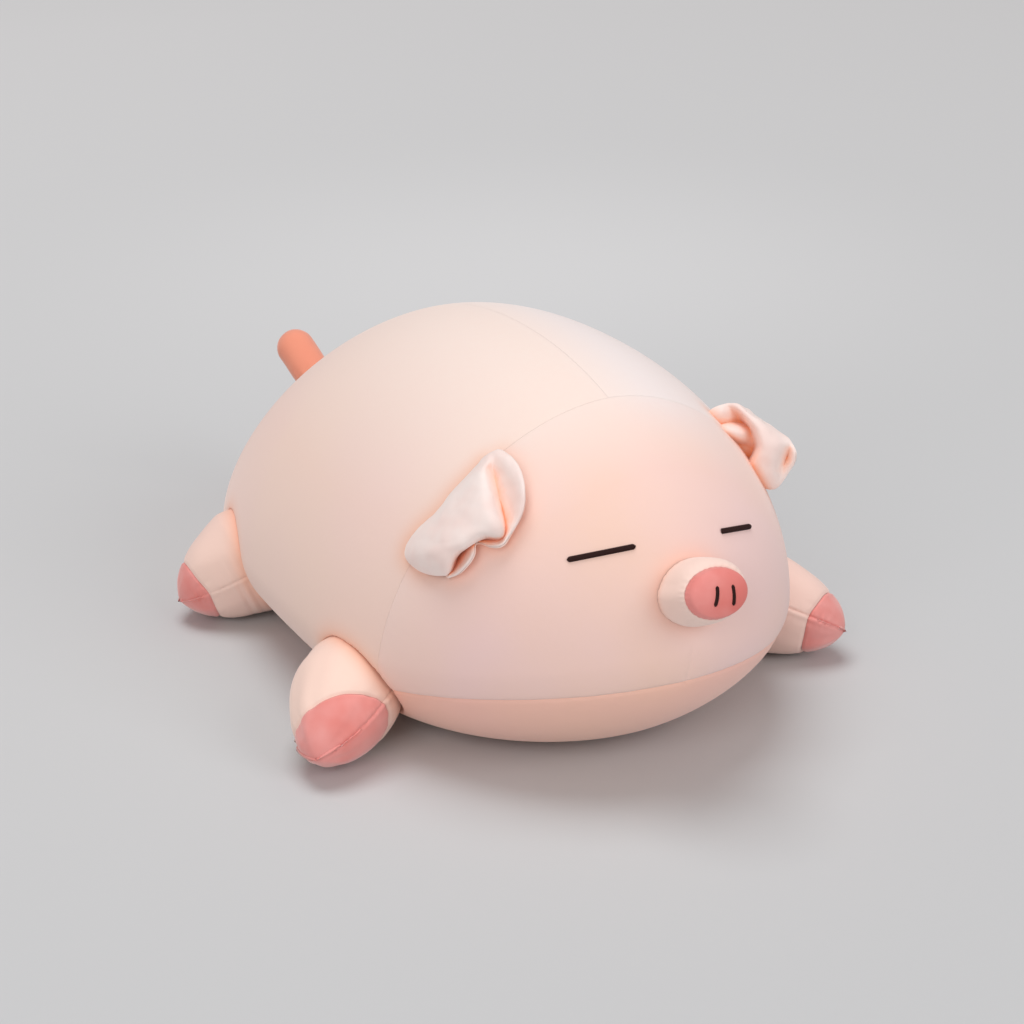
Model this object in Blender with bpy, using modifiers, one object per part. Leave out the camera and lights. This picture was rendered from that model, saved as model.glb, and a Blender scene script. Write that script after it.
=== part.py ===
"""Plush pig lying on its belly: a stuffed body sewn from four panels, with four stuffed
legs, two folded ears, a snout and a tail. Metres, +Z up. The pig looks along -Y, its own
right side is -X, and the origin is the middle of the flat belly on the floor."""

import math

import bmesh
import bpy
from mathutils import Matrix, Vector
from mathutils.bvhtree import BVHTree

# Body: how far it reaches ahead of and behind its widest section
BODY_FRONT = 0.1548
BODY_REAR = 0.2452
BODY_HALF_WIDTH = 0.1178
CROWN_RISE = 0.1315
BELLY_DROP = 0.0702
WAIST_HEIGHT = 0.0508
FACE_HEIGHT = 0.0749
RUMP_HEIGHT = 0.0116
RUMP_ROUNDNESS = 2.25
RUMP_WIDTH_POWER = 0.37
RUMP_RISE_POWER = 0.63
SECTION_POWER = 1.06
FLOOR_SOFTNESS = 0.0053
FLOOR_CUT = 0.0005
BODY_SEGMENTS = 28
BODY_RINGS = 18

# Fabric, and the gaps between pieces that touch
FABRIC = 0.0018
SEAM_GAP = 0.0004
OVERRUN = 0.040

# Seams of the body's cover
HEAD_SEAM_LOW_Y = -0.0470
HEAD_SEAM_LEAN = 0.18
BELLY_SEAM_FRONT = 0.0577
BELLY_SEAM_WAIST = 0.0235
BELLY_SEAM_RUMP = 0.0205
CHIN_DART_TOP = 0.0820
CHIN_DART_WIDTH = 0.0006

# Legs: a ball at the sewn root, drawn out to a blunt tip
LEG_RADIUS = 0.0270
LEG_ROUNDNESS = 2
LEG_POINT_POWER = 0.66
LEG_SWING = math.radians(18)
SOCKET_CLEARANCE = 0.0005
ROOT_OPENING_SHARE = 0.8
FRONT_LEG_LENGTH = 0.0550
FRONT_LEG_CLEARANCE = 0.0015
FRONT_LEG_STATION = -0.0290
FRONT_LEG_STANDOFF = 0.0030
FRONT_LEG_TURN = math.radians(-47.5)
FRONT_LEG_DROOP = math.radians(13)
FRONT_LEG_ROLL = math.radians(22)
FRONT_HOOF_LENGTH = 0.0205
HIND_LEG_LENGTH = 0.0390
HIND_LEG_CLEARANCE = 0.0015
HIND_LEG_STATION = 0.1300
HIND_LEG_STANDOFF = -0.0043
HIND_LEG_TURN = math.radians(9)
HIND_LEG_DROOP = math.radians(25)
HIND_LEG_ROLL = math.radians(12)
HIND_HOOF_LENGTH = 0.0125

# Snout: an oval puffed ring with a domed disc in its front
SNOUT_HEIGHT = 0.1010
SNOUT_TILT = math.radians(22)
SNOUT_LENGTH = 0.0202
SNOUT_HALF_WIDTH = 0.0188
SNOUT_DISC_HALF_WIDTH = 0.0157
SNOUT_DOME = 0.0050
SNOUT_OVAL_SHARE = 0.80
SNOUT_SINK = 0.0130

# Embroidery
EYE_INNER_X = 0.0222
EYE_OUTER_X = 0.0470
EYE_INNER_HEIGHT = 0.1221
EYE_OUTER_HEIGHT = 0.1171
EYE_THREAD_WIDTH = 0.0026
NOSTRIL_LENGTH = 0.0090
NOSTRIL_SPACING = 0.0084
NOSTRIL_THREAD_WIDTH = 0.0017
THREAD_HEIGHT = 0.0009
THREAD_ROWS = 7
THREAD_COLUMNS = 2

# Ears: two layers sewn into the head seam and folded forward
EAR_ROOT_LOW = math.radians(25.5)
EAR_ROOT_HIGH = math.radians(56)
EAR_ROOT_SETBACK = 0.0022
EAR_REACH = 0.0440
EAR_ARCH = 0.0125
EAR_EDGE_LIFT = 0.0045
EAR_RIPPLE = 0.0030
EAR_TAPER_SHARE = 0.42
EAR_CORNER_SHARE = 0.22
EAR_COLUMNS = 9
EAR_ROWS = 6

# Tail: a stuffed stub with a ball at its sewn root
TAIL_RADIUS = 0.0110
TAIL_LENGTH = 0.0570
TAIL_HEIGHT = 0.0640
TAIL_STANDOFF = 0.0065
TAIL_RISE = math.radians(33)
TAIL_LEAN = math.radians(11)

# Fineness of the turned pieces and of the room cut for them
TURNED_STEPS = 14
SLEEVE_STEPS = 7
HOOF_STEPS = 5
DOME_STEPS = 5
SOCKET_STEPS = 8
SOCKET_SEGMENTS = 16
SOCKET_RINGS = 10


def clear_scene():
    for old in list(bpy.data.objects):
        bpy.data.objects.remove(old, do_unlink=True)


def new_collection(name):
    collection = bpy.data.collections.new(name)
    bpy.context.scene.collection.children.link(collection)
    return collection


def fabric_material(name, colour, roughness):
    material = bpy.data.materials.new(name)
    material.use_nodes = True
    shader = material.node_tree.nodes["Principled BSDF"]
    shader.inputs["Base Color"].default_value = (*colour, 1)
    shader.inputs["Roughness"].default_value = roughness
    shader.inputs["Metallic"].default_value = 0
    return material


def new_object(name, mesh, collection, material=None):
    piece = bpy.data.objects.new(name, mesh)
    collection.objects.link(piece)
    if material is not None:
        mesh.materials.append(material)
    return piece


def mesh_from(bm, name):
    mesh = bpy.data.meshes.new(name)
    bm.to_mesh(mesh)
    bm.free()
    mesh.shade_smooth()
    mesh.set_sharp_from_angle(angle=math.radians(40))
    return mesh


def as_cutter(piece):
    piece.hide_render = True
    piece.display_type = "WIRE"
    return piece


def add_boolean(piece, operation, cutter):
    boolean = piece.modifiers.new(f"{operation.lower()} {cutter.name}", "BOOLEAN")
    boolean.operation = operation
    boolean.solver = "EXACT"
    if isinstance(cutter, bpy.types.Collection):
        boolean.operand_type = "COLLECTION"
        boolean.collection = cutter
    else:
        boolean.object = cutter


def add_screw(piece):
    screw = piece.modifiers.new("turned", "SCREW")
    screw.axis = "Z"
    screw.steps = TURNED_STEPS
    screw.render_steps = TURNED_STEPS
    screw.use_merge_vertices = True
    screw.merge_threshold = 0.00005


def add_solidify(piece, thickness, offset):
    wall = piece.modifiers.new("fabric", "SOLIDIFY")
    wall.thickness = thickness
    wall.offset = offset


def signed_power(value, power):
    return math.copysign(abs(value) ** power, value)


def body_reach(y, inset):
    return (BODY_FRONT if y < 0 else BODY_REAR) - inset


def body_section(y, inset):
    """Half width, crown rise, belly drop and centre height of the body's section at y."""
    station = min(abs(y) / body_reach(y, inset), 1)
    if y < 0:
        end_height = FACE_HEIGHT
        width_share = math.sqrt(1 - station ** 2)
        rise_share = width_share
    else:
        end_height = RUMP_HEIGHT
        left = 1 - station ** RUMP_ROUNDNESS
        width_share = left ** RUMP_WIDTH_POWER
        rise_share = left ** RUMP_RISE_POWER
    centre = WAIST_HEIGHT + (end_height - WAIST_HEIGHT) * station ** 2
    half_width = (BODY_HALF_WIDTH - inset) * width_share
    return half_width, (CROWN_RISE - inset) * rise_share, (BELLY_DROP - inset) * rise_share, centre


def settled(z, inset):
    """Height that a point keeps once the stuffed belly has sagged onto the floor."""
    sagged = FLOOR_SOFTNESS * math.log1p(math.exp((z - inset) / FLOOR_SOFTNESS))
    return inset + max(sagged - FLOOR_CUT, 0)


def body_point(y, angle, inset):
    """Point of the body at y, at an angle round its section from +X over the top."""
    half_width, rise, drop, centre = body_section(y, inset)
    across = signed_power(math.cos(angle), SECTION_POWER)
    up = signed_power(math.sin(angle), SECTION_POWER)
    z = centre + (rise if up > 0 else drop) * up
    return Vector((half_width * across, y, settled(z, inset)))


def body_half_width_at(y, z):
    half_width, rise, drop, centre = body_section(y, 0)
    up = abs(z - centre) / (rise if z > centre else drop)
    across = math.sqrt(1 - up ** (2 / SECTION_POWER))
    return half_width * across ** SECTION_POWER


def body_solid(name, inset, collection, material=None):
    """The whole stuffed body as one swollen solid, drawn in by inset."""
    bm = bmesh.new()
    bmesh.ops.create_uvsphere(bm, u_segments=BODY_SEGMENTS, v_segments=BODY_RINGS, radius=1)
    for vert in bm.verts:
        across, up, along = vert.co.x, vert.co.y, -vert.co.z
        y = along * body_reach(along, inset)
        vert.co = body_point(y, math.atan2(up, across), inset)
    bmesh.ops.triangulate(bm, faces=bm.faces, quad_method="FIXED")
    return new_object(name, mesh_from(bm, name), collection, material)


def profile_block(name, outline, x_low, x_high, collection):
    """Block with an outline in Y and Z, between two values of X."""
    curve = bpy.data.curves.new(name, "CURVE")
    curve.dimensions = "2D"
    curve.fill_mode = "BOTH"
    curve.extrude = (x_high - x_low) / 2
    spline = curve.splines.new("POLY")
    spline.points.add(len(outline) - 1)
    for point, (y, z) in zip(spline.points, outline):
        point.co = (y, z, 0, 1)
    spline.use_cyclic_u = True
    drawn = new_object(name, curve, collection)
    turn = Matrix(((0, 0, 1, 0), (1, 0, 0, 0), (0, 1, 0, 0), (0, 0, 0, 1)))
    drawn.matrix_world = Matrix.Translation(((x_low + x_high) / 2, 0, 0)) @ turn
    bpy.context.view_layer.update()
    evaluated = drawn.evaluated_get(bpy.context.evaluated_depsgraph_get())
    mesh = bpy.data.meshes.new_from_object(evaluated)
    bm = bmesh.new()
    bm.from_mesh(mesh)
    bmesh.ops.remove_doubles(bm, verts=bm.verts, dist=SEAM_GAP / 10)
    bmesh.ops.recalc_face_normals(bm, faces=bm.faces)
    bm.to_mesh(mesh)
    bm.free()
    block = new_object(name, mesh, collection)
    block.matrix_world = drawn.matrix_world.copy()
    bpy.data.objects.remove(drawn, do_unlink=True)
    block.name = name
    return as_cutter(block)


def head_seam_y(z):
    return HEAD_SEAM_LOW_Y - HEAD_SEAM_LEAN * z


def seam_blocks(cutters):
    """Blocks on either side of the head seam, the belly seam and the centre-back seam."""
    half_gap = SEAM_GAP / 2
    side = BODY_HALF_WIDTH + OVERRUN
    top = WAIST_HEIGHT + CROWN_RISE + OVERRUN
    front = -BODY_FRONT - OVERRUN
    rear = BODY_REAR + OVERRUN
    slope = (BELLY_SEAM_WAIST - BELLY_SEAM_FRONT) / BODY_FRONT
    belly_line = [(front, BELLY_SEAM_FRONT - slope * OVERRUN), (0, BELLY_SEAM_WAIST),
                  (rear, BELLY_SEAM_RUMP)]
    head_line = [(head_seam_y(-OVERRUN), -OVERRUN), (head_seam_y(top), top)]
    outlines = {
        "ahead_of_head_seam": [(y - half_gap, z) for y, z in head_line]
                              + [(front, top), (front, -OVERRUN)],
        "behind_head_seam": [(y + half_gap, z) for y, z in head_line]
                            + [(rear, top), (rear, -OVERRUN)],
        "above_belly_seam": [(y, z + half_gap) for y, z in belly_line]
                            + [(rear, top), (front, top)],
        "below_belly_seam": [(y, z - half_gap) for y, z in belly_line]
                            + [(rear, -OVERRUN), (front, -OVERRUN)],
    }
    blocks = {name: profile_block(name, outline, -side, side, cutters)
              for name, outline in outlines.items()}
    whole = [(front, -OVERRUN), (rear, -OVERRUN), (rear, top), (front, top)]
    blocks["right_of_back_seam"] = profile_block("right_of_back_seam", whole, -side, -half_gap,
                                                 cutters)
    blocks["left_of_back_seam"] = profile_block("left_of_back_seam", whole, half_gap, side,
                                                cutters)
    dart = [(front, -OVERRUN), (0, -OVERRUN), (0, CHIN_DART_TOP), (front, CHIN_DART_TOP)]
    half_dart = CHIN_DART_WIDTH / 2
    blocks["chin_dart"] = profile_block("chin_dart", dart, -half_dart, half_dart, cutters)
    return blocks


def build_body(parts, cutters, sockets, skins):
    """Stuffed core and the four panels of its cover, cut open where the limbs are sewn on."""
    core = body_solid("body_stuffing", FABRIC + SEAM_GAP, parts, skins["stuffing"])
    add_boolean(core, "DIFFERENCE", sockets)
    inner = as_cutter(body_solid("cover_inside", FABRIC, cutters))
    blocks = seam_blocks(cutters)
    panels = {
        "face_panel": ("ahead_of_head_seam", "above_belly_seam"),
        "back_panel_right": ("behind_head_seam", "above_belly_seam", "right_of_back_seam"),
        "back_panel_left": ("behind_head_seam", "above_belly_seam", "left_of_back_seam"),
        "belly_panel": ("below_belly_seam",),
    }
    for name, regions in panels.items():
        cover = skins["belly"] if name == "belly_panel" else skins["cover"]
        panel = body_solid(name, 0, parts, cover)
        add_boolean(panel, "DIFFERENCE", inner)
        for region in regions:
            add_boolean(panel, "INTERSECT", blocks[region])
        if name == "face_panel":
            add_boolean(panel, "DIFFERENCE", blocks["chin_dart"])
        add_boolean(panel, "DIFFERENCE", sockets)


def leg_radius_at(along, length, inset):
    """Radius of a leg at a distance along its axis from the middle of its root ball."""
    radius = LEG_RADIUS - inset
    if along <= 0:
        return math.sqrt(max(radius ** 2 - along ** 2, 0))
    share = min(along / (length - inset), 1)
    return radius * (1 - share ** LEG_ROUNDNESS) ** LEG_POINT_POWER


def leg_profile(start, end, length, inset, count):
    """Outline of a leg in its local X and Z, from the tip side down to the root side."""
    top = min(start, length - inset)
    bottom = max(end, inset - LEG_RADIUS)
    points = []
    for step in range(count + 1):
        swing = math.pi * step / (2 * count)
        if start > 0 > end:
            swing = math.pi * step / count
            along = top * math.cos(swing) if swing < math.pi / 2 else -bottom * math.cos(swing)
        else:
            along = bottom + (top - bottom) * (1 - math.sin(swing))
        points.append(Vector((leg_radius_at(along, length, inset), 0, along)))
    return points


def turned_piece(name, profile, frame, collection, material=None):
    """Profile in local X and Z turned about local Z, set in the world by frame."""
    bm = bmesh.new()
    verts = [bm.verts.new(point) for point in profile]
    for first, second in zip(verts, verts[1:]):
        bm.edges.new((first, second))
    mesh = bpy.data.meshes.new(name)
    bm.to_mesh(mesh)
    bm.free()
    piece = new_object(name, mesh, collection, material)
    piece.matrix_world = frame
    add_screw(piece)
    return piece


def aimed_frame(origin, direction):
    """Frame whose Z runs along direction and whose Y is as upright as it can be."""
    z_axis = direction.normalized()
    x_axis = Vector((0, 0, 1)).cross(z_axis).normalized()
    y_axis = z_axis.cross(x_axis)
    frame = Matrix((x_axis, y_axis, z_axis)).transposed().to_4x4()
    frame.translation = origin
    return frame


def pivot_empty(name, location, parts):
    pivot = bpy.data.objects.new(name, None)
    parts.objects.link(pivot)
    pivot.location = location
    bpy.context.view_layer.update()
    return pivot


def hang_on(pivot, piece):
    placed = piece.matrix_world.copy()
    piece.parent = pivot
    piece.matrix_parent_inverse = pivot.matrix_world.inverted()
    piece.matrix_world = placed


def leg_places():
    """Name, middle of the root ball, direction, roll, length and hoof length of each leg."""
    pairs = {
        "front": (FRONT_LEG_STATION, FRONT_LEG_STANDOFF, FRONT_LEG_CLEARANCE, FRONT_LEG_TURN,
                  FRONT_LEG_DROOP, FRONT_LEG_ROLL, FRONT_LEG_LENGTH, FRONT_HOOF_LENGTH),
        "hind": (HIND_LEG_STATION, HIND_LEG_STANDOFF, HIND_LEG_CLEARANCE, HIND_LEG_TURN,
                 HIND_LEG_DROOP, HIND_LEG_ROLL, HIND_LEG_LENGTH, HIND_HOOF_LENGTH),
    }
    places = []
    for end_name, sizes in pairs.items():
        station, standoff, clearance, turn, droop, roll, length, hoof = sizes
        height = LEG_RADIUS + clearance
        x = body_half_width_at(station, height) + standoff
        level = math.cos(droop)
        for side_name, side in (("right", -1), ("left", 1)):
            middle = Vector((side * x, station, height))
            direction = Vector((side * level * math.cos(turn), level * math.sin(turn),
                                -math.sin(droop)))
            places.append((f"{end_name}_{side_name}", middle, direction, -side * roll, length,
                           hoof))
    return places


def half_block(name, frame, side, reach, cutters):
    """Block over one side of the seam that runs along the middle of a leg."""
    bm = bmesh.new()
    bmesh.ops.create_cube(bm, size=reach)
    bmesh.ops.translate(bm, verts=bm.verts, vec=(0, side * (reach + SEAM_GAP) / 2, 0))
    block = new_object(name, mesh_from(bm, name), cutters)
    block.matrix_world = frame
    return as_cutter(block)


def build_leg(name, middle, direction, roll, length, hoof_length, parts, cutters, skins):
    """Stuffing, two sleeve halves and two hoof halves of one leg."""
    pivot = pivot_empty(f"{name}_leg_root", middle, parts)
    frame = aimed_frame(middle, direction) @ Matrix.Rotation(roll, 4, "Z")
    half_gap = SEAM_GAP / 2
    root = -LEG_RADIUS * ROOT_OPENING_SHARE
    hoof_seam = length - hoof_length

    def sleeve_wall(inset):
        return leg_profile(hoof_seam - half_gap, root, length, inset, SLEEVE_STEPS)

    def hoof_wall(inset):
        return leg_profile(length, hoof_seam + half_gap, length, inset, HOOF_STEPS)

    sleeve = sleeve_wall(0) + sleeve_wall(FABRIC)[::-1] + sleeve_wall(0)[:1]
    hoof = hoof_wall(0) + hoof_wall(FABRIC)[::-1]
    for half, side in (("upper", 1), ("lower", -1)):
        block = half_block(f"{name}_{half}_half", frame, side, 2 * (length + LEG_RADIUS), cutters)
        for piece_name, profile, skin in ((f"{name}_leg_sleeve_{half}", sleeve, "cover"),
                                          (f"{name}_hoof_{half}", hoof, "hoof")):
            piece = turned_piece(piece_name, profile, frame, parts, skins[skin])
            add_boolean(piece, "INTERSECT", block)
            hang_on(pivot, piece)
    inset = FABRIC + SEAM_GAP
    filling = hoof_wall(inset) + sleeve_wall(inset) + [Vector((0, 0, inset - LEG_RADIUS))]
    piece = turned_piece(f"{name}_leg_stuffing", filling, frame, parts, skins["stuffing"])
    hang_on(pivot, piece)


def ball_socket(name, middle, ball_radius, sockets):
    """Cutter round a ball, whose flat facets too keep their clearance to it."""
    facet_share = math.cos(math.pi / SOCKET_SEGMENTS) * math.cos(math.pi / (2 * SOCKET_RINGS))
    bm = bmesh.new()
    bmesh.ops.create_uvsphere(bm, u_segments=SOCKET_SEGMENTS, v_segments=SOCKET_RINGS,
                              radius=(ball_radius + SOCKET_CLEARANCE) / facet_share)
    bmesh.ops.translate(bm, verts=bm.verts, vec=middle)
    as_cutter(new_object(name, mesh_from(bm, name), sockets))


def leg_sockets(name, middle, direction, length, sockets):
    """Room in the body for a leg's root ball, and for the leg at both ends of its swing."""
    ball_socket(f"{name}_ball_socket", middle, LEG_RADIUS, sockets)
    facet_share = math.cos(math.pi / TURNED_STEPS)
    base = [Vector((0, 0, 0))]
    front_half = leg_profile(length + SOCKET_CLEARANCE, 0, length, -SOCKET_CLEARANCE,
                             SOCKET_STEPS)
    for point in front_half:
        point.x /= facet_share
    for label, swing in (("back", -LEG_SWING), ("rest", 0), ("fore", LEG_SWING)):
        turned = Matrix.Rotation(swing, 3, "Z") @ direction
        as_cutter(turned_piece(f"{name}_swing_{label}", front_half + base,
                               aimed_frame(middle, turned), sockets))


def build_snout(parts, cutters, skins):
    """Puffed ring, domed disc and filling of the snout, and its two embroidered nostrils."""
    clear_body = as_cutter(body_solid("body_clearance", -SEAM_GAP, cutters))
    reach = BODY_FRONT * math.sqrt(1 - ((SNOUT_HEIGHT - FACE_HEIGHT) / CROWN_RISE) ** 2)
    middle = Vector((0, -reach, SNOUT_HEIGHT))
    direction = Vector((0, -math.cos(SNOUT_TILT), math.sin(SNOUT_TILT)))
    frame = aimed_frame(middle, direction) @ Matrix.Diagonal((1, SNOUT_OVAL_SHARE, 1, 1))
    bulge = SNOUT_HALF_WIDTH
    edge = SNOUT_DISC_HALF_WIDTH
    side_shares = ((1.0, 0.0), (0.90, 0.42), (0.74, 0.80), (0.50, 1.0), (0.20, 0.96), (0.0, 0.86))
    low = -SNOUT_SINK

    def wall(inset):
        return [Vector((edge - inset + (bulge - edge) * bulge_share, 0,
                        SNOUT_LENGTH * height_share)) for height_share, bulge_share in side_shares]

    outer = wall(0)
    outer.append(Vector((outer[-1].x, 0, low)))
    inner = wall(FABRIC)
    inner.append(Vector((inner[-1].x, 0, low)))
    ring = outer + inner[::-1]
    gusset = turned_piece("snout_gusset", ring + ring[:1], frame, parts, skins["cover"])
    add_boolean(gusset, "DIFFERENCE", clear_body)

    def dome(base, radius):
        swings = [math.pi * step / (2 * DOME_STEPS) for step in range(DOME_STEPS + 1)]
        return [Vector((radius * math.sin(swing), 0, base + SNOUT_DOME * math.cos(swing)))
                for swing in swings]

    rim = edge - SEAM_GAP
    seat = SNOUT_LENGTH + SEAM_GAP
    disc_profile = dome(seat + FABRIC, rim) + dome(seat, rim)[::-1]
    turned_piece("snout_disc", disc_profile, frame, parts, skins["hoof"])
    filling = dome(SNOUT_LENGTH, edge - FABRIC - SEAM_GAP) + wall(FABRIC + SEAM_GAP)[1:]
    filling.append(Vector((filling[-1].x, 0, low)))
    filling.append(Vector((0, 0, low)))
    stuffing = turned_piece("snout_stuffing", filling, frame, parts, skins["stuffing"])
    add_boolean(stuffing, "DIFFERENCE", clear_body)
    for side_name, side in (("right", -1), ("left", 1)):
        build_nostril(f"nostril_{side_name}", side, frame, rim, parts, skins)


def build_nostril(name, side, frame, rim, parts, skins):
    """Short upright satin-stitched bar on the dome of the snout's disc."""
    bm = bmesh.new()
    bmesh.ops.create_grid(bm, x_segments=THREAD_COLUMNS, y_segments=THREAD_ROWS, size=1)
    for vert in bm.verts:
        x = side * NOSTRIL_SPACING / 2 + vert.co.x * NOSTRIL_THREAD_WIDTH / 2
        y = vert.co.y * NOSTRIL_LENGTH / 2 / SNOUT_OVAL_SHARE
        share = math.hypot(x, y) / rim
        height = SNOUT_LENGTH + FABRIC + 2 * SEAM_GAP + SNOUT_DOME * math.sqrt(1 - share ** 2)
        vert.co = frame @ Vector((x, y, height))
    piece = new_object(name, mesh_from(bm, name), parts, skins["thread"])
    face_outward(piece, Vector((0, -1, 0)))
    add_solidify(piece, THREAD_HEIGHT, 1)


def face_outward(piece, direction):
    """Turns an open sheet's faces towards direction."""
    total = Vector((0, 0, 0))
    for polygon in piece.data.polygons:
        total += polygon.normal * polygon.area
    if total.dot(direction) < 0:
        piece.data.flip_normals()


def build_eye(name, side, surface, parts, skins):
    """Satin-stitched bar across the face, following its curve."""
    bm = bmesh.new()
    bmesh.ops.create_grid(bm, x_segments=THREAD_ROWS, y_segments=THREAD_COLUMNS, size=1)
    for vert in bm.verts:
        share = (vert.co.x + 1) / 2
        x = side * (EYE_INNER_X + (EYE_OUTER_X - EYE_INNER_X) * share)
        z = EYE_INNER_HEIGHT + (EYE_OUTER_HEIGHT - EYE_INNER_HEIGHT) * share
        z += vert.co.y * EYE_THREAD_WIDTH / 2
        start = Vector((x, -BODY_FRONT - OVERRUN, z))
        hit, normal, _, _ = surface.ray_cast(start, Vector((0, 1, 0)))
        vert.co = hit + normal * SEAM_GAP
    piece = new_object(name, mesh_from(bm, name), parts, skins["thread"])
    face_outward(piece, Vector((0, -1, 0)))
    add_solidify(piece, THREAD_HEIGHT, 1)


def ear_point(across, reach, side, lift=0):
    """Point of an ear's inside: across from -1 low to 1 high, reach from 0 at the seam to 1.
    A lift takes it further off the head."""
    middle = (EAR_ROOT_LOW + EAR_ROOT_HIGH) / 2
    half_span = (EAR_ROOT_HIGH - EAR_ROOT_LOW) / 2
    angle = middle + half_span * across * (1 - EAR_TAPER_SHARE * reach ** 3)
    root = body_point(head_seam_y(WAIST_HEIGHT), angle, 0)
    reach_y = EAR_REACH * reach * (1 - EAR_CORNER_SHARE * across ** 2 * reach)
    y = head_seam_y(root.z) - EAR_ROOT_SETBACK - reach_y
    arch = EAR_ARCH * math.sin(math.pi * reach ** 0.75)
    ripple = EAR_RIPPLE * reach * math.sin(1.5 * math.pi * across)
    height = SEAM_GAP + lift + arch + EAR_EDGE_LIFT * reach + ripple
    point = body_point(y, angle, -height)
    return Vector((side * point.x, point.y, point.z))


def ear_layer(name, side, lift, pivot, parts, skin):
    """One layer of an ear, standing off its inside surface by lift."""
    bm = bmesh.new()
    bmesh.ops.create_grid(bm, x_segments=EAR_COLUMNS, y_segments=EAR_ROWS, size=1)
    for vert in bm.verts:
        across, reach = vert.co.x, (vert.co.y + 1) / 2
        vert.co = ear_point(across, reach, side) - pivot.location
    piece = new_object(name, mesh_from(bm, name), parts, skin)
    piece.location = pivot.location
    bpy.context.view_layer.update()
    face_outward(piece, Vector((side, 0, 1)))
    lifted = [vert.co + vert.normal * lift for vert in piece.data.vertices]
    for vert, place in zip(piece.data.vertices, lifted):
        vert.co = place
    add_solidify(piece, FABRIC, 1)
    hang_on(pivot, piece)


def build_ear(side_name, side, parts, skins):
    """Inner and outer layer of one folded ear, hung between the two on its sewn root."""
    root = ear_point(0, 0, side, FABRIC + SEAM_GAP)
    pivot = pivot_empty(f"ear_{side_name}_root", root, parts)
    ear_layer(f"ear_{side_name}_inner", side, 0, pivot, parts, skins["ear"])
    ear_layer(f"ear_{side_name}_outer", side, FABRIC + 2 * SEAM_GAP, pivot, parts, skins["ear"])


def tail_profile(root, inset):
    """Outline of the tail in its local X and Z, from its round end to its root ball."""
    radius = TAIL_RADIUS - inset
    points = []
    for step in range(DOME_STEPS + 1):
        swing = math.pi * step / (2 * DOME_STEPS)
        points.append(Vector((radius * math.sin(swing), 0,
                              TAIL_LENGTH - TAIL_RADIUS + radius * math.cos(swing))))
    points.append(Vector((radius, 0, (TAIL_LENGTH - TAIL_RADIUS) / 2)))
    limit = math.asin(min(root / radius, 1))
    for step in range(DOME_STEPS):
        swing = limit * step / (DOME_STEPS - 1)
        points.append(Vector((radius * math.cos(swing), 0, -radius * math.sin(swing))))
    return points


def build_tail(parts, sockets, surface, skins):
    """Cover and filling of the tail, and the room for its root ball in the body."""
    start = Vector((0, BODY_REAR + OVERRUN, TAIL_HEIGHT))
    hit, normal, _, _ = surface.ray_cast(start, Vector((0, -1, 0)))
    middle = hit + normal * TAIL_STANDOFF
    middle.x = 0
    level = math.cos(TAIL_RISE)
    direction = Vector((-level * math.sin(TAIL_LEAN), level * math.cos(TAIL_LEAN),
                        math.sin(TAIL_RISE)))
    pivot = pivot_empty("tail_root", middle, parts)
    frame = aimed_frame(middle, direction)
    root = TAIL_RADIUS * ROOT_OPENING_SHARE
    inner_root = root * (TAIL_RADIUS - FABRIC) / TAIL_RADIUS
    cup = tail_profile(root, 0) + tail_profile(inner_root, FABRIC)[::-1]
    cover = turned_piece("tail_cover", cup, frame, parts, skins["tail"])
    inset = FABRIC + SEAM_GAP
    core = tail_profile(TAIL_RADIUS - inset, inset)
    filling = turned_piece("tail_stuffing", core, frame, parts, skins["stuffing"])
    for piece in (cover, filling):
        hang_on(pivot, piece)
    ball_socket("tail_ball_socket", middle, TAIL_RADIUS, sockets)


def main():
    clear_scene()
    parts = new_collection("plush_pig")
    cutters = new_collection("cutters")
    sockets = new_collection("limb_sockets")
    skins = {
        "cover": fabric_material("peach_cream_stretch_fabric", (0.90, 0.66, 0.55), 0.9),
        "belly": fabric_material("peach_stretch_fabric", (0.84, 0.52, 0.42), 0.9),
        "hoof": fabric_material("rose_velvet", (0.72, 0.25, 0.25), 0.85),
        "ear": fabric_material("pale_pink_velvet", (0.90, 0.64, 0.58), 0.9),
        "tail": fabric_material("coral_fabric", (0.80, 0.30, 0.22), 0.9),
        "thread": fabric_material("dark_brown_thread", (0.03, 0.015, 0.015), 0.6),
        "stuffing": fabric_material("white_fibre", (0.85, 0.85, 0.83), 1.0),
    }
    outer = as_cutter(body_solid("body_outside", 0, cutters))
    surface = BVHTree.FromPolygons([vert.co for vert in outer.data.vertices],
                                   [polygon.vertices for polygon in outer.data.polygons])
    for name, middle, direction, roll, length, hoof_length in leg_places():
        leg_sockets(name, middle, direction, length, sockets)
        build_leg(name, middle, direction, roll, length, hoof_length, parts, cutters, skins)
    build_tail(parts, sockets, surface, skins)
    build_body(parts, cutters, sockets, skins)
    build_snout(parts, cutters, skins)
    for side_name, side in (("right", -1), ("left", 1)):
        build_eye(f"eye_{side_name}", side, surface, parts, skins)
        build_ear(side_name, side, parts, skins)
    bpy.context.view_layer.update()


main()
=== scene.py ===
import math
from functools import partial

import bmesh
import bpy
from mathutils import Matrix, Vector, noise
from mathutils.bvhtree import BVHTree
from mathutils.kdtree import KDTree


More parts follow.
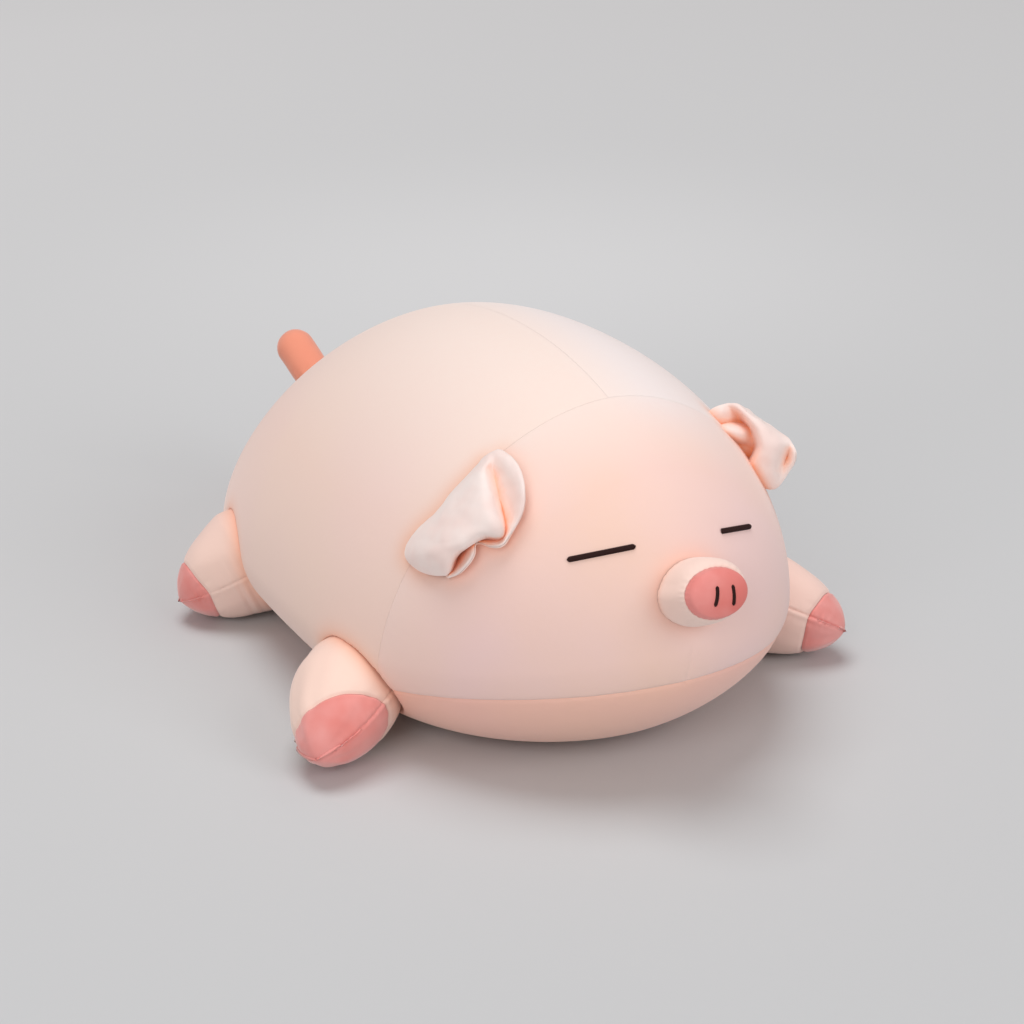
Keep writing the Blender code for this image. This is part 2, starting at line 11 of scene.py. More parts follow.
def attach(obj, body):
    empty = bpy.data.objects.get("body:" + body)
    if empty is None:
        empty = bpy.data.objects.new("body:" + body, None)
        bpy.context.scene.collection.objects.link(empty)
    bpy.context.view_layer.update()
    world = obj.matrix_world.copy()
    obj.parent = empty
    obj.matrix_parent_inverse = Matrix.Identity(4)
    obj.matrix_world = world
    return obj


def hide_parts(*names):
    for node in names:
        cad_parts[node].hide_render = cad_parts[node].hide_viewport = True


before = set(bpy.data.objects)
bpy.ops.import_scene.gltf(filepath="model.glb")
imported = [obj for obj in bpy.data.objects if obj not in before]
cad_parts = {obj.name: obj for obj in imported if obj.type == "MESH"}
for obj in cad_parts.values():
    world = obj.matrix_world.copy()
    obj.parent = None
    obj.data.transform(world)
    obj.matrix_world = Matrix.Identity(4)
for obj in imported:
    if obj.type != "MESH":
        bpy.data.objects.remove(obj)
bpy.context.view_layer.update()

# Floor, camera and light.
# A pale grey paper floor that runs well past the view, a long lens looking down at the pig's
# right front, and soft light from above with a weaker one from the front.

bpy.ops.object.select_all(action="DESELECT")
bpy.ops.mesh.primitive_plane_add(size=9, location=(0, 0, -0.0003))
paper_floor = bpy.context.object
paper_floor.name = "paper_floor"


def shader_of(material):
    return material.node_tree.nodes["Principled BSDF"]


def set_inputs(node, values):
    for socket, value in values.items():
        node.inputs[socket].default_value = value


def node_after(tree, kind, values=None, **settings):
    """A new node with its settings, and with values on its input sockets."""
    node = tree.nodes.new(kind)
    for name, value in settings.items():
        setattr(node, name, value)
    set_inputs(node, values or {})
    return node


def join(source, output, target, socket):
    source.id_data.links.new(source.outputs[output], target.inputs[socket])


paper = bpy.data.materials.new("grey_paper")
paper.use_nodes = True
# Painted light: the paper's colour is lighter towards the back, and lighter still in a round patch
# behind the pig's left side.
floor_place = node_after(paper.node_tree, "ShaderNodeTexCoord")
floor_axes = node_after(paper.node_tree, "ShaderNodeSeparateXYZ")
floor_depth = node_after(paper.node_tree, "ShaderNodeMapRange", {"From Min": -0.4,
                                                                 "From Max": 1.6})
floor_painted_falloff = node_after(paper.node_tree, "ShaderNodeMix", {"A": (0.580, 0.602, 0.616, 1),
                                                           "B": (0.700, 0.720, 0.732, 1)},
                        data_type="RGBA")
join(floor_place, "Object", floor_axes, "Vector")
join(floor_axes, "Y", floor_depth, "Value")
join(floor_depth, "Result", floor_painted_falloff, "Factor")
floor_reach = node_after(paper.node_tree, "ShaderNodeVectorMath", {1: (0.33, 0.63, 0)},
                         operation="DISTANCE")
light_pool_share = node_after(paper.node_tree, "ShaderNodeMapRange", {"From Max": 0.45, "To Min": 1,
                                                                "To Max": 0},
                        interpolation_type="SMOOTHSTEP")
floor_painted_light_pool = node_after(paper.node_tree, "ShaderNodeMix", {"B": (0.706, 0.727, 0.741, 1)},
                         data_type="RGBA")
join(floor_place, "Object", floor_reach, 0)
join(floor_reach, "Value", light_pool_share, "Value")
join(light_pool_share, "Result", floor_painted_light_pool, "Factor")
join(floor_painted_falloff, "Result", floor_painted_light_pool, "A")
join(floor_painted_light_pool, "Result", shader_of(paper), "Base Color")
set_inputs(shader_of(paper), {"Roughness": 0.95, "Specular IOR Level": 0.1})
paper_floor.data.materials.append(paper)

lens = bpy.data.cameras.new("long_lens")
lens.lens = 88.69
lens.sensor_width = 36
lens.clip_end = 20
viewpoint = bpy.data.objects.new("viewpoint", lens)
bpy.context.scene.collection.objects.link(viewpoint)
viewpoint.location = (-0.55357, -1.01538, 0.56199)
viewpoint.rotation_euler = (math.radians(67.597), 0, math.radians(-28.227))
bpy.context.scene.camera = viewpoint


def soft_lamp(name, place, target, size, watts, colour):
    lamp = bpy.data.lights.new(name, "AREA")
    lamp.shape = "DISK"
    lamp.size = size
    lamp.energy = watts
    lamp.color = colour
    holder = bpy.data.objects.new(name, lamp)
    bpy.context.scene.collection.objects.link(holder)
    holder.location = place
    aim = Vector(target) - Vector(place)
    holder.rotation_euler = aim.to_track_quat("-Z", "Y").to_euler()


soft_lamp("high_softbox", (-0.5, 0.8, 6.0), (0, 0, 0.05), 4.0, 177, (0.985, 0.995, 1))
soft_lamp("left_softbox", (-3.4, -3.0, 2.6), (0, 0, 0.08), 2.8, 60, (0.985, 0.99, 0.985))
soft_lamp("right_softbox", (1.6, -3.9, 2.6), (0, 0, 0.08), 2.8, 58, (0.985, 0.99, 0.985))

room = bpy.data.worlds.new("pale_room")
room.use_nodes = True
set_inputs(room.node_tree.nodes["Background"], {"Color": (1, 0.88, 0.85, 1), "Strength": 0.35})
bpy.context.scene.world = room
bpy.context.scene.view_settings.view_transform = "Standard"

# Filling of the body.
# One swollen bag of loose polyester fibre, wide and low behind and round at the face. It sits
# on its belly, so its underside is settled flat on the floor.

BODY_FRONT = 0.1548
BODY_REAR = 0.2452
BODY_HALF_WIDTH = 0.1178
CROWN_RISE = 0.1315
BELLY_DROP = 0.0702
WAIST_HEIGHT = 0.0508
FACE_HEIGHT = 0.0749
RUMP_HEIGHT = 0.0116
RUMP_ROUNDNESS = 2.25
RUMP_WIDTH_POWER = 0.37
RUMP_RISE_POWER = 0.63
SECTION_POWER = 1.06
FLOOR_SOFTNESS = 0.0053
FLOOR_CUT = 0.0005
FABRIC = 0.0018


def signed_power(value, power):
    return math.copysign(abs(value) ** power, value)


def body_section(y, inset=0):
    """Half width, crown rise, belly drop and centre height of the body's section at y."""
    reach = (BODY_FRONT if y < 0 else BODY_REAR) - inset
    station = min(abs(y) / reach, 1)
    if y < 0:
        end_height = FACE_HEIGHT
        width_share = math.sqrt(1 - station ** 2)
        rise_share = width_share
    else:
        end_height = RUMP_HEIGHT
        left = 1 - station ** RUMP_ROUNDNESS
        width_share = left ** RUMP_WIDTH_POWER
        rise_share = left ** RUMP_RISE_POWER
    centre = WAIST_HEIGHT + (end_height - WAIST_HEIGHT) * station ** 2
    half_width = (BODY_HALF_WIDTH - inset) * width_share
    return half_width, (CROWN_RISE - inset) * rise_share, (BELLY_DROP - inset) * rise_share, centre


def settled(z, inset=0):
    sagged = FLOOR_SOFTNESS * math.log1p(math.exp((z - inset) / FLOOR_SOFTNESS))
    return inset + max(sagged - FLOOR_CUT, 0)


def unsettled(z, inset=0):
    lift = max(z - inset + FLOOR_CUT, FLOOR_CUT * 1.001)
    return inset + FLOOR_SOFTNESS * math.log(math.expm1(lift / FLOOR_SOFTNESS))


def body_point(y, angle, inset=0):
    """Point of the body at y, at an angle round its section from +X over the top."""
    half_width, rise, drop, centre = body_section(y, inset)
    across = signed_power(math.cos(angle), SECTION_POWER)
    up = signed_power(math.sin(angle), SECTION_POWER)
    z = centre + (rise if up > 0 else drop) * up
    return Vector((half_width * across, y, settled(z, inset)))


def angle_on_body(point, inset=0):
    half_width, rise, drop, centre = body_section(point.y, inset)
    height = unsettled(point.z, inset) - centre
    across = signed_power(point.x / max(half_width, 1e-6), 1 / SECTION_POWER)
    up = signed_power(height / max(rise if height > 0 else drop, 1e-6), 1 / SECTION_POWER)
    return math.atan2(up, across)


def on_body(point, inset=0):
    """The same place put back on the body's true surface."""
    reach = (BODY_FRONT if point.y < 0 else BODY_REAR) - inset
    if abs(point.y) > reach * 0.9999 or point.z < inset + 0.00002:
        return point.copy()
    return body_point(point.y, angle_on_body(point, inset), inset)


def outside_body(point, swell=0):
    """Above 1 where a point lies outside the body swollen by swell, below 1 inside it."""
    reach = (BODY_FRONT if point.y < 0 else BODY_REAR) + swell
    if abs(point.y) >= reach:
        return 2
    half_width, rise, drop, centre = body_section(point.y, -swell)
    height = unsettled(point.z, -swell) - centre if point.z > -swell else -1
    power = 2 / SECTION_POWER
    up = abs(height) / max(rise if height > 0 else drop, 1e-9)
    return (abs(point.x) / max(half_width, 1e-9)) ** power + up ** power


LEG_RADIUS = 0.0270
LEG_POINT_POWER = 0.66
LEG_SWING = math.radians(18)


def width_at(y, z):
    half_width, rise, drop, centre = body_section(y)
    up = abs(z - centre) / (rise if z > centre else drop)
    return half_width * math.sqrt(1 - up ** (2 / SECTION_POWER)) ** SECTION_POWER


def leg_place(side, station, standoff, clearance, turn, droop, roll, length, hoof, slant,
              root, power, groove):
    """A leg's root, its direction, and its across and up turned so that across is its seam."""
    height = LEG_RADIUS + clearance
    middle = Vector((side * (width_at(station, height) + standoff), station, height))
    turn, droop, roll = math.radians(turn), math.radians(droop), math.radians(roll)
    level = math.cos(droop)
    along = Vector((side * level * math.cos(turn), level * math.sin(turn), -math.sin(droop)))
    across = -side * Vector((0, 0, 1)).cross(along).normalized()
    up = -side * along.cross(across)
    seam = across * math.cos(roll) + up * math.sin(roll)
    return {"middle": middle, "along": along, "across": seam,
            "up": up * math.cos(roll) - across * math.sin(roll),
            "length": length, "hoof": hoof, "slant": slant, "root": root, "power": power,
            "groove": groove}


LEGS = {}
for side_name, side, roll, hoof, slant, power, groove in (
        ("right", -1, 22, 0.0250, 0.0115, 0.66, 0.6), ("left", 1, 30, 0.0150, 0.0020, 0.57, 1)):
    LEGS[f"front_{side_name}"] = leg_place(side, station=-0.0290, standoff=0.0030,
                                           clearance=0.0015, turn=-47.5, droop=13, roll=roll,
                                           length=0.0550, hoof=hoof, slant=slant,
                                           root=-0.07, power=power, groove=groove)
    LEGS[f"hind_{side_name}"] = leg_place(side, station=0.1300, standoff=-0.0043,
                                          clearance=0.0015, turn=9, droop=25, roll=12,
                                          length=0.0390, hoof=0.0128, slant=0.0012,
                                          root=0.08, power=LEG_POINT_POWER, groove=0.4)


def leg_radius(leg, along, swell=0):
    """Radius of a leg at a distance along it: its own width at the root, pointed at its tip."""
    near_root = 1 - min(max(along / 0.016, 0), 1)
    radius = LEG_RADIUS * (1 + leg["root"] * near_root ** 2) + swell
    if along <= 0:
        return math.sqrt(max(radius ** 2 - along ** 2, 0))
    share = min(along / (leg["length"] + swell), 1)
    return radius * (1 - share ** 2) ** leg["power"]


def room_to_leg(point, leg, swings=(-0.6, -0.3, 0, 0.3, 0.6)):
    """How far a point is from the room that a leg takes in its swing, below zero inside it."""
    from_root = point - leg["middle"]
    best = from_root.length - leg_radius(leg, 0)
    for swing in swings:
        along = Matrix.Rotation(swing * LEG_SWING, 3, "Z") @ leg["along"]
        distance = from_root.dot(along)
        if distance > 0:
            off_axis = (from_root - along * distance).length
            inside = off_axis - leg_radius(leg, distance)
            if distance > leg["length"]:
                inside = max(inside, distance - leg["length"])
            best = min(best, inside)
    return best


def give_way(point, normal, room, ease, pull):
    """A cover point drawn in towards the body where a leg leaves no room for it."""
    nearest = min(LEGS.values(), key=lambda leg: (point - leg["middle"]).length)
    if (point - nearest["middle"]).length > LEG_RADIUS + nearest["length"] + ease:
        return point
    gap = room_to_leg(point, nearest) - room
    if gap < ease:
        share = 1 - max(gap, 0) / ease
        point = point - normal * pull * share * share
    for _ in range(60):
        gap = room_to_leg(point, nearest) - room
        if gap >= 0:
            break
        point = point - normal * max(-gap * 0.7, 0.0002)
    return point


def body_bag(name, inset, segments, rings):
    """The swollen body as a fine sphere drawn out to its sections."""
    bpy.ops.object.select_all(action="DESELECT")
    bpy.ops.mesh.primitive_uv_sphere_add(segments=segments, ring_count=rings, radius=1)
    bag = bpy.context.object
    bag.name = name
    for vert in bag.data.vertices:
        across, up, along = vert.co.x, vert.co.y, -vert.co.z
        y = along * ((BODY_FRONT if along < 0 else BODY_REAR) - inset)
        vert.co = body_point(y, math.atan2(up, across), inset)
    bag.data.update()
    return bag


def true_normals(bm):
    bm.normal_update()
    return {vert: vert.normal.copy() for vert in bm.verts}


def smooth_and_store(piece, bm, turned_in=()):
    """Stores a mesh with smooth faces, but for the walls that its sewn edges turn in."""
    bm.normal_update()
    walls = set(turned_in)
    for face in bm.faces:
        face.smooth = face not in walls
    bm.to_mesh(piece.data)
    bm.free()
    piece.data.update()


def sewn_piece(name, bm, turned_in=()):
    """A new piece that holds a mesh."""
    piece = bpy.data.objects.new(name, bpy.data.meshes.new(name))
    bpy.context.scene.collection.objects.link(piece)
    smooth_and_store(piece, bm, turned_in)
    return piece


def fibre_filling(name, colour):
    """Loose white fibre: soft lumps with fine strands over them."""
    material = bpy.data.materials.new(name)
    material.use_nodes = True
    tree = material.node_tree
    shader = shader_of(material)
    set_inputs(shader, {"Roughness": 1, "Specular IOR Level": 0.1, "Sheen Weight": 0.3})
    place = node_after(tree, "ShaderNodeTexCoord")
    lumps = node_after(tree, "ShaderNodeTexNoise", {"Scale": 90, "Detail": 5})
    strands = node_after(tree, "ShaderNodeTexNoise", {"Scale": 900, "Distortion": 3})
    tint = node_after(tree, "ShaderNodeMix", {"A": (*colour, 1),
                                              "B": (*[share * 0.82 for share in colour], 1)},
                      data_type="RGBA")
    lift = node_after(tree, "ShaderNodeBump", {"Strength": 0.5, "Distance": 0.001})
    for texture in (lumps, strands):
        join(place, "Object", texture, "Vector")
    join(lumps, "Fac", tint, "Factor")
    join(tint, "Result", shader, "Base Color")
    join(strands, "Fac", lift, "Height")
    join(lift, "Normal", shader, "Normal")
    return material


white_fibre = fibre_filling("white_fibre", (0.88, 0.87, 0.85))

filling = body_bag("body_filling", FABRIC + 0.0016, 160, 110)
bm = bmesh.new()
bm.from_mesh(filling.data)
outward = true_normals(bm)
for vert in bm.verts:
    lump = 0.0006 * noise.noise(vert.co * 60)
    vert.co = vert.co - outward[vert] * abs(lump)
    vert.co = give_way(vert.co, outward[vert], 0.0030, 0.006, 0.003)
    if vert.co.z < 0.0030:
        vert.co.z = 0.0030
smooth_and_store(filling, bm)
filling.data.materials.append(white_fibre)
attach(filling, "body")
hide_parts("body_stuffing")

# Cover of the body.
# Four panels of short-piled stretch cloth: a face, two backs that meet along the spine, and a
# darker belly. They are sewn right sides together, so each edge rolls in at its seam and the
# seam shows as a fine groove, lightly drawn up by its stitches.

HEAD_SEAM_LOW_Y = -0.0470
HEAD_SEAM_LEAN = 0.18
BELLY_SEAM_FRONT = 0.0577
BELLY_SEAM_WAIST = 0.0235
BELLY_SEAM_RUMP = 0.0205
CHIN_DART_TOP = 0.0820
SEAM_LOOPS = (-0.0034, -0.0014, -0.0004, 0.0, 0.0004, 0.0014, 0.0034)
SEAM_DEPTH = 0.00045
SEAM_HALF_WIDTH = 0.0011
SEAM_SOFT_DEPTH = 0.00022
SEAM_SOFT_WIDTH = 0.0050


def head_seam_distance(point):
    lean = math.atan(HEAD_SEAM_LEAN)
    return (point.y - HEAD_SEAM_LOW_Y + HEAD_SEAM_LEAN * point.z) * math.cos(lean)


def belly_seam_height(y):
    if y < 0:
        return BELLY_SEAM_WAIST + (BELLY_SEAM_FRONT - BELLY_SEAM_WAIST) * -y / BODY_FRONT
    return BELLY_SEAM_WAIST + (BELLY_SEAM_RUMP - BELLY_SEAM_WAIST) * y / BODY_REAR


def panel_at(point):
    if point.z < belly_seam_height(point.y):
        return "belly"
    if head_seam_distance(point) < 0:
        return "face"
    return "back_right" if point.x < 0 else "back_left"


def cut_loops(bm, point, normal, offsets, keep):
    """Cuts loops beside a seam's plane into the faces that keep picks."""
    normal = Vector(normal).normalized()
    for offset in offsets:
        chosen = [face for face in bm.faces if keep(face.calc_center_median())]
        edges = {edge for face in chosen for edge in face.edges}
        verts = {vert for face in chosen for vert in face.verts}
        bmesh.ops.bisect_plane(bm, geom=[*chosen, *edges, *verts], dist=0.00001,
                               plane_co=Vector(point) + normal * offset, plane_no=normal)


bag = body_bag("body_cover", 0, 256, 176)
bm = bmesh.new()
bm.from_mesh(bag.data)
near = 0.012
front_slope = (BELLY_SEAM_WAIST - BELLY_SEAM_FRONT) / BODY_FRONT
rear_slope = (BELLY_SEAM_RUMP - BELLY_SEAM_WAIST) / BODY_REAR
cut_loops(bm, (0, HEAD_SEAM_LOW_Y, 0), (0, 1, HEAD_SEAM_LEAN), SEAM_LOOPS,
          lambda c: abs(head_seam_distance(c)) < near and c.z > belly_seam_height(c.y) - near)
cut_loops(bm, (0, 0, BELLY_SEAM_WAIST), (0, -front_slope, 1), SEAM_LOOPS,
          lambda c: c.y < 0.001 and abs(c.z - belly_seam_height(c.y)) < near)
cut_loops(bm, (0, 0, BELLY_SEAM_WAIST), (0, -rear_slope, 1), SEAM_LOOPS,
          lambda c: c.y > -0.001 and abs(c.z - belly_seam_height(c.y)) < near)
cut_loops(bm, (0, 0, 0), (1, 0, 0), SEAM_LOOPS,
          lambda c: abs(c.x) < near and c.z > belly_seam_height(c.y) - near
          and (head_seam_distance(c) > -near or c.z < CHIN_DART_TOP + near))
socket_edges = set()
for face in bm.faces:
    middle = face.calc_center_median()
    if any(abs(room_to_leg(middle, leg)) < 0.005 for leg in LEGS.values()):
        socket_edges.update(face.edges)
bmesh.ops.subdivide_edges(bm, edges=list(socket_edges), cuts=3, use_grid_fill=True)
bmesh.ops.triangulate(bm, faces=[face for face in bm.faces if len(face.verts) > 4])
region_layer = bm.faces.layers.int.new("region")
REGIONS = ("face", "back_right", "back_left", "belly")
for face in bm.faces:
    face[region_layer] = REGIONS.index(panel_at(face.calc_center_median()))
for vert in bm.verts:
    vert.co = on_body(vert.co)
outward = true_normals(bm)


def seam_pull(point, normal):
    """Depth to which the seams draw a point of the cover in."""
    pulls = []
    above_belly = point.z - belly_seam_height(point.y)
    slant = math.sqrt(max(1 - normal.z ** 2, 0.05))
    pulls.append((abs(above_belly) / slant, point.x + point.y, 1.3))
    if above_belly > -0.002:
        stretched = min(max((point.z - 0.07) / 0.05, 0), 1)
        pulls.append((abs(head_seam_distance(point)), point.x * 1.3 + point.z,
                      0.8 - 0.6 * stretched))
        if head_seam_distance(point) > -0.002:
            pulls.append((abs(point.x), point.y, 0.7 - 0.55 * stretched))
        elif point.y < 0 and point.z < CHIN_DART_TOP:
            fade = min((CHIN_DART_TOP - point.z) / 0.018, 1)
            pulls.append((abs(point.x), point.z, fade))
    depth = 0
    for distance, along, strength in pulls:
        pucker = 1 + 0.22 * math.sin(along * 2 * math.pi / 0.0095) + 0.25 * noise.noise(
            Vector((along * 70, distance * 40, 0)))
        pull = SEAM_DEPTH * math.exp(-(distance / SEAM_HALF_WIDTH) ** 2)
        pull += SEAM_SOFT_DEPTH * pucker * math.exp(-(distance / SEAM_SOFT_WIDTH) ** 2)
        depth = max(depth, pull * strength)
    return depth


for vert in bm.verts:
    normal = outward[vert]
    place = vert.co - normal * seam_pull(vert.co, normal)
    place = give_way(place, normal, 0.0003, 0.0040, 0.0004)
    vert.co = Vector((place.x, place.y, max(place.z, 0)))


def pile_cloth(name, colour, shade, painted_fold_colour, pile=0.16, sheen=0.4, mottle=1.0, patch=9,
               painted_top_light=False, seam_tint=None):
    """Short-piled stretch cloth: mottled nap, a fine bump of fibres, and a soft pale sheen.
    Painted warm shade comes up in its folds, where the attribute of painted fold shade is high.
    Its painted top light, when switched on, pales it towards the top and most on the left side.
    With seam_tint it takes on the colour of the cloth behind as it nears the head seam, and its
    painted top light fades out away from that seam."""
    material = bpy.data.materials.new(name)
    material.use_nodes = True
    tree = material.node_tree
    shader = shader_of(material)
    set_inputs(shader, {"Specular IOR Level": 0.15, "Sheen Weight": sheen, "Sheen Roughness": 0.45,
                        "Sheen Tint": (1, 0.97, 0.95, 1)})
    place = node_after(tree, "ShaderNodeTexCoord")
    patches = node_after(tree, "ShaderNodeTexNoise", {"Scale": patch, "Detail": 2})
    nap = node_after(tree, "ShaderNodeTexNoise", {"Scale": 260, "Detail": 3})
    fibres = node_after(tree, "ShaderNodeTexNoise", {"Scale": 2300, "Detail": 2})
    for texture in (patches, nap, fibres):
        join(place, "Object", texture, "Vector")
    spread = node_after(tree, "ShaderNodeMapRange", {"From Min": 0.35, "From Max": 0.65,
                                                     "To Max": mottle})
    join(patches, "Fac", spread, "Value")
    tint = node_after(tree, "ShaderNodeMix", {"A": (*colour, 1),
                                              "B": (*shade, 1)}, data_type="RGBA")
    join(spread, "Result", tint, "Factor")
    # Painted light: the cloth is painted paler towards the top, and most on its left side, where
    # the light falls.
    if painted_top_light:
        axes = node_after(tree, "ShaderNodeSeparateXYZ")
        height = node_after(tree, "ShaderNodeMapRange", {"From Min": 0.115, "From Max": 0.178})
        sideways = node_after(tree, "ShaderNodeMapRange", {"From Min": -0.012,
                                                           "From Max": 0.034},
                              interpolation_type="SMOOTHSTEP")
        pale = node_after(tree, "ShaderNodeMix", {"A": (0.955, 0.815, 0.745, 1),
                                                  "B": (0.950, 0.880, 0.875, 1)}, data_type="RGBA")
        top_lit = node_after(tree, "ShaderNodeMix", data_type="RGBA")
        join(place, "Object", axes, "Vector")
        join(axes, "Z", height, "Value")
        join(axes, "X", sideways, "Value")
        join(sideways, "Result", pale, "Factor")
        if seam_tint:
            seam = node_after(tree, "ShaderNodeVectorMath", {1: (0, 1, HEAD_SEAM_LEAN)},
                              operation="DOT_PRODUCT")
            nearness = node_after(tree, "ShaderNodeMapRange", {"From Min": HEAD_SEAM_LOW_Y - 0.045,
                                                               "From Max": HEAD_SEAM_LOW_Y})
            behind = node_after(tree, "ShaderNodeMix", {"B": (*seam_tint, 1)}, data_type="RGBA")
            join(place, "Object", seam, 0)
            join(seam, "Value", nearness, "Value")
            join(nearness, "Result", behind, "Factor")
            join(tint, "Result", behind, "A")
            join(nearness, "Result", height, "To Max")
            tint = behind
        join(height, "Result", top_lit, "Factor")
        join(tint, "Result", top_lit, "A")
        join(pale, "Result", top_lit, "B")
        tint = top_lit
    fine = node_after(tree, "ShaderNodeMapRange", {"From Min": 0.3, "From Max": 0.7, "To Min": 0.0,
                                                   "To Max": 0.10})
    join(nap, "Fac", fine, "Value")
    napped = node_after(tree, "ShaderNodeMix", {"B": (*shade, 1)}, data_type="RGBA")
    join(tint, "Result", napped, "A")
    join(fine, "Result", napped, "Factor")
    # Painted warm shade: the fold colour is mixed in by the attribute of painted fold shade.
    fold = node_after(tree, "ShaderNodeAttribute", attribute_name="painted_fold_shade")
    fold_shaded = node_after(tree, "ShaderNodeMix", {"B": (*painted_fold_colour, 1)}, data_type="RGBA")
    join(napped, "Result", fold_shaded, "A")
    join(fold, "Fac", fold_shaded, "Factor")
    join(fold_shaded, "Result", shader, "Base Color")
    rough = node_after(tree, "ShaderNodeMapRange", {"To Min": 0.82, "To Max": 0.96})
    join(nap, "Fac", rough, "Value")
    join(rough, "Result", shader, "Roughness")
    soft = node_after(tree, "ShaderNodeBump", {"Strength": 0.25, "Distance": 0.0003})
    join(nap, "Fac", soft, "Height")
    lift = node_after(tree, "ShaderNodeBump", {"Strength": pile, "Distance": 0.00015})
    join(fibres, "Fac", lift, "Height")
    join(soft, "Normal", lift, "Normal")
    join(lift, "Normal", shader, "Normal")
    return material


# The third colour given to each cloth is its painted warm shade for the folds.
face_cloth = pile_cloth("face_stretch_cloth", (0.965, 0.680, 0.565), (0.950, 0.695, 0.665),
                        (0.94, 0.43, 0.25), painted_top_light=True, seam_tint=(0.960, 0.740, 0.665))
peach_cream = pile_cloth("peach_cream_stretch_cloth", (0.970, 0.742, 0.642), (0.960, 0.722, 0.655),
                         (0.94, 0.45, 0.26), painted_top_light=True)
# Painted light: the left back takes a paler, cooler cloth than the right back, in place of the
# cool light that falls on that side.
lit_back_cloth = pile_cloth("lit_back_stretch_cloth", (0.950, 0.810, 0.770), (0.945, 0.790, 0.750),
                        (0.94, 0.45, 0.26), painted_top_light=True)
peach = pile_cloth("peach_stretch_cloth", (0.985, 0.610, 0.480), (0.970, 0.585, 0.500),
                   (0.90, 0.35, 0.20))
sleeve_cloth = pile_cloth("sleeve_stretch_cloth", (0.965, 0.722, 0.622), (0.955, 0.690, 0.610),
                          (0.94, 0.42, 0.24))
cover_pieces = []


def cut_panel(bm, region):
    """The faces of one panel as a mesh of its own, and the walls of its turned-in edge."""
    panel = bm.copy()
    layer = panel.faces.layers.int["region"]
    outside = [face for face in panel.faces if face[layer] != REGIONS.index(region)]
    bmesh.ops.delete(panel, geom=outside, context="FACES")
    panel.normal_update()
    normals = {vert: vert.normal.copy() for vert in panel.verts}
    rim = [edge for edge in panel.edges if edge.is_boundary]
    turned = bmesh.ops.extrude_edge_only(panel, edges=rim)
    new_verts = [item for item in turned["geom"] if isinstance(item, bmesh.types.BMVert)]
    for vert in new_verts:
        old = next(edge.other_vert(vert) for edge in vert.link_edges
                   if edge.other_vert(vert) in normals)
        inside = old.co - normals[old] * 0.0016
        if old.co.z < 0.0005:
            inside.z = old.co.z + 0.0016
        vert.co = inside
    return panel, [item for item in turned["geom"] if isinstance(item, bmesh.types.BMFace)]


for region, node, cloth, slot in (("face", "face_panel", face_cloth, "cover"),
                                  ("back_right", "back_panel_right", peach_cream, "cover"),
                                  ("back_left", "back_panel_left", lit_back_cloth, "cover"),
                                  ("belly", "belly_panel", peach, "belly")):
    piece = sewn_piece(f"{region}_cloth", *cut_panel(bm, region))
    piece.data.materials.append(cloth)
    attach(piece, "body")
    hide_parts(node)
    cover_pieces.append(piece)
bm.free()
bpy.data.objects.remove(bag, do_unlink=True)

# Legs.
# Each is a stuffed bag sewn from an upper and a lower half: a peach sleeve, and a rose velvet
# hoof joined to it by a slanting seam. The rounded root is sewn into the body.

rose_velvet = pile_cloth("rose_velvet", (0.88, 0.385, 0.36), (0.82, 0.265, 0.235),
                         (0.62, 0.10, 0.06), pile=0.3, sheen=0.6, mottle=0.9, patch=55)
SLANT_TURN = math.radians(42)
LEG_FLOOR_SOFTNESS = 0.0012
LEG_CLOTH = 0.0012
STITCH_PITCH = 0.0043
HOOF_STITCH_DEPTH = 0.00030
SLEEVE_STITCH_DEPTH = 0.00012


def hoof_seam_at(leg, angle):
    """Distance along a leg of its hoof's seam, at an angle round it from its front seam."""
    corner = math.exp(-(math.sin(angle / 2) / 0.2) ** 2)
    return (leg["length"] - leg["hoof"] - leg["slant"] * math.cos(angle + SLANT_TURN)
            - 0.0012 * corner)


def leg_surface(leg, along, angle, inset=0):
    """Point of a leg's skin at a distance along it, at an angle round it from its front seam."""
    radius = leg_radius(leg, along, -inset)
    across, up = math.cos(angle), math.sin(angle)
    if inset < FABRIC:
        slim = min((radius / 0.009) ** 2, 1) ** 2
        off_seam = up * radius
        sewn = leg["groove"] * max(across, 0) ** 0.5
        stitch = math.sin(along * 2 * math.pi / STITCH_PITCH + 2 * math.sin(along * 420))
        radius -= slim * sewn * 0.0008 * math.exp(-(off_seam / 0.0007) ** 2)
        radius += slim * sewn * 0.0006 * math.exp(-((off_seam + 0.0018) / 0.0013) ** 2)
        on_hoof = along > hoof_seam_at(leg, angle)
        drawn = HOOF_STITCH_DEPTH if on_hoof else SLEEVE_STITCH_DEPTH
        radius += (slim * max(across, 0) ** 0.5 * drawn * stitch
                   * math.exp(-(off_seam / 0.0034) ** 2))
        to_seam = along - hoof_seam_at(leg, angle)
        gather = math.sin(angle * 19 + 2.5 * math.sin(angle * 3))
        radius -= slim * 0.0008 * math.exp(-(to_seam / 0.0009) ** 2)
        radius -= slim * (0.0005 + 0.00012 * gather) * math.exp(-(to_seam / 0.0042) ** 2)
        creases = noise.noise(Vector((across * 2.2, up * 2.2, along * 42 + leg["middle"].y * 90)))
        radius += slim * 0.0009 * creases * min(max(along / 0.01, 0), 1)
        drawn_up = math.exp(-((angle + 0.5) / 0.7) ** 2)
        for ring, depth in ((0.0040, 0.0009), (0.0088, 0.0007)):
            radius -= depth * drawn_up * math.exp(-((along - ring) / 0.0012) ** 2)
    point = (leg["middle"] + leg["along"] * along
             + (leg["across"] * across + leg["up"] * up) * max(radius, 0))
    if point.z < inset + 0.004:
        sunk = (point.z - inset) / LEG_FLOOR_SOFTNESS
        point.z = inset + LEG_FLOOR_SOFTNESS * math.log1p(math.exp(sunk)) * 0.98
    return point


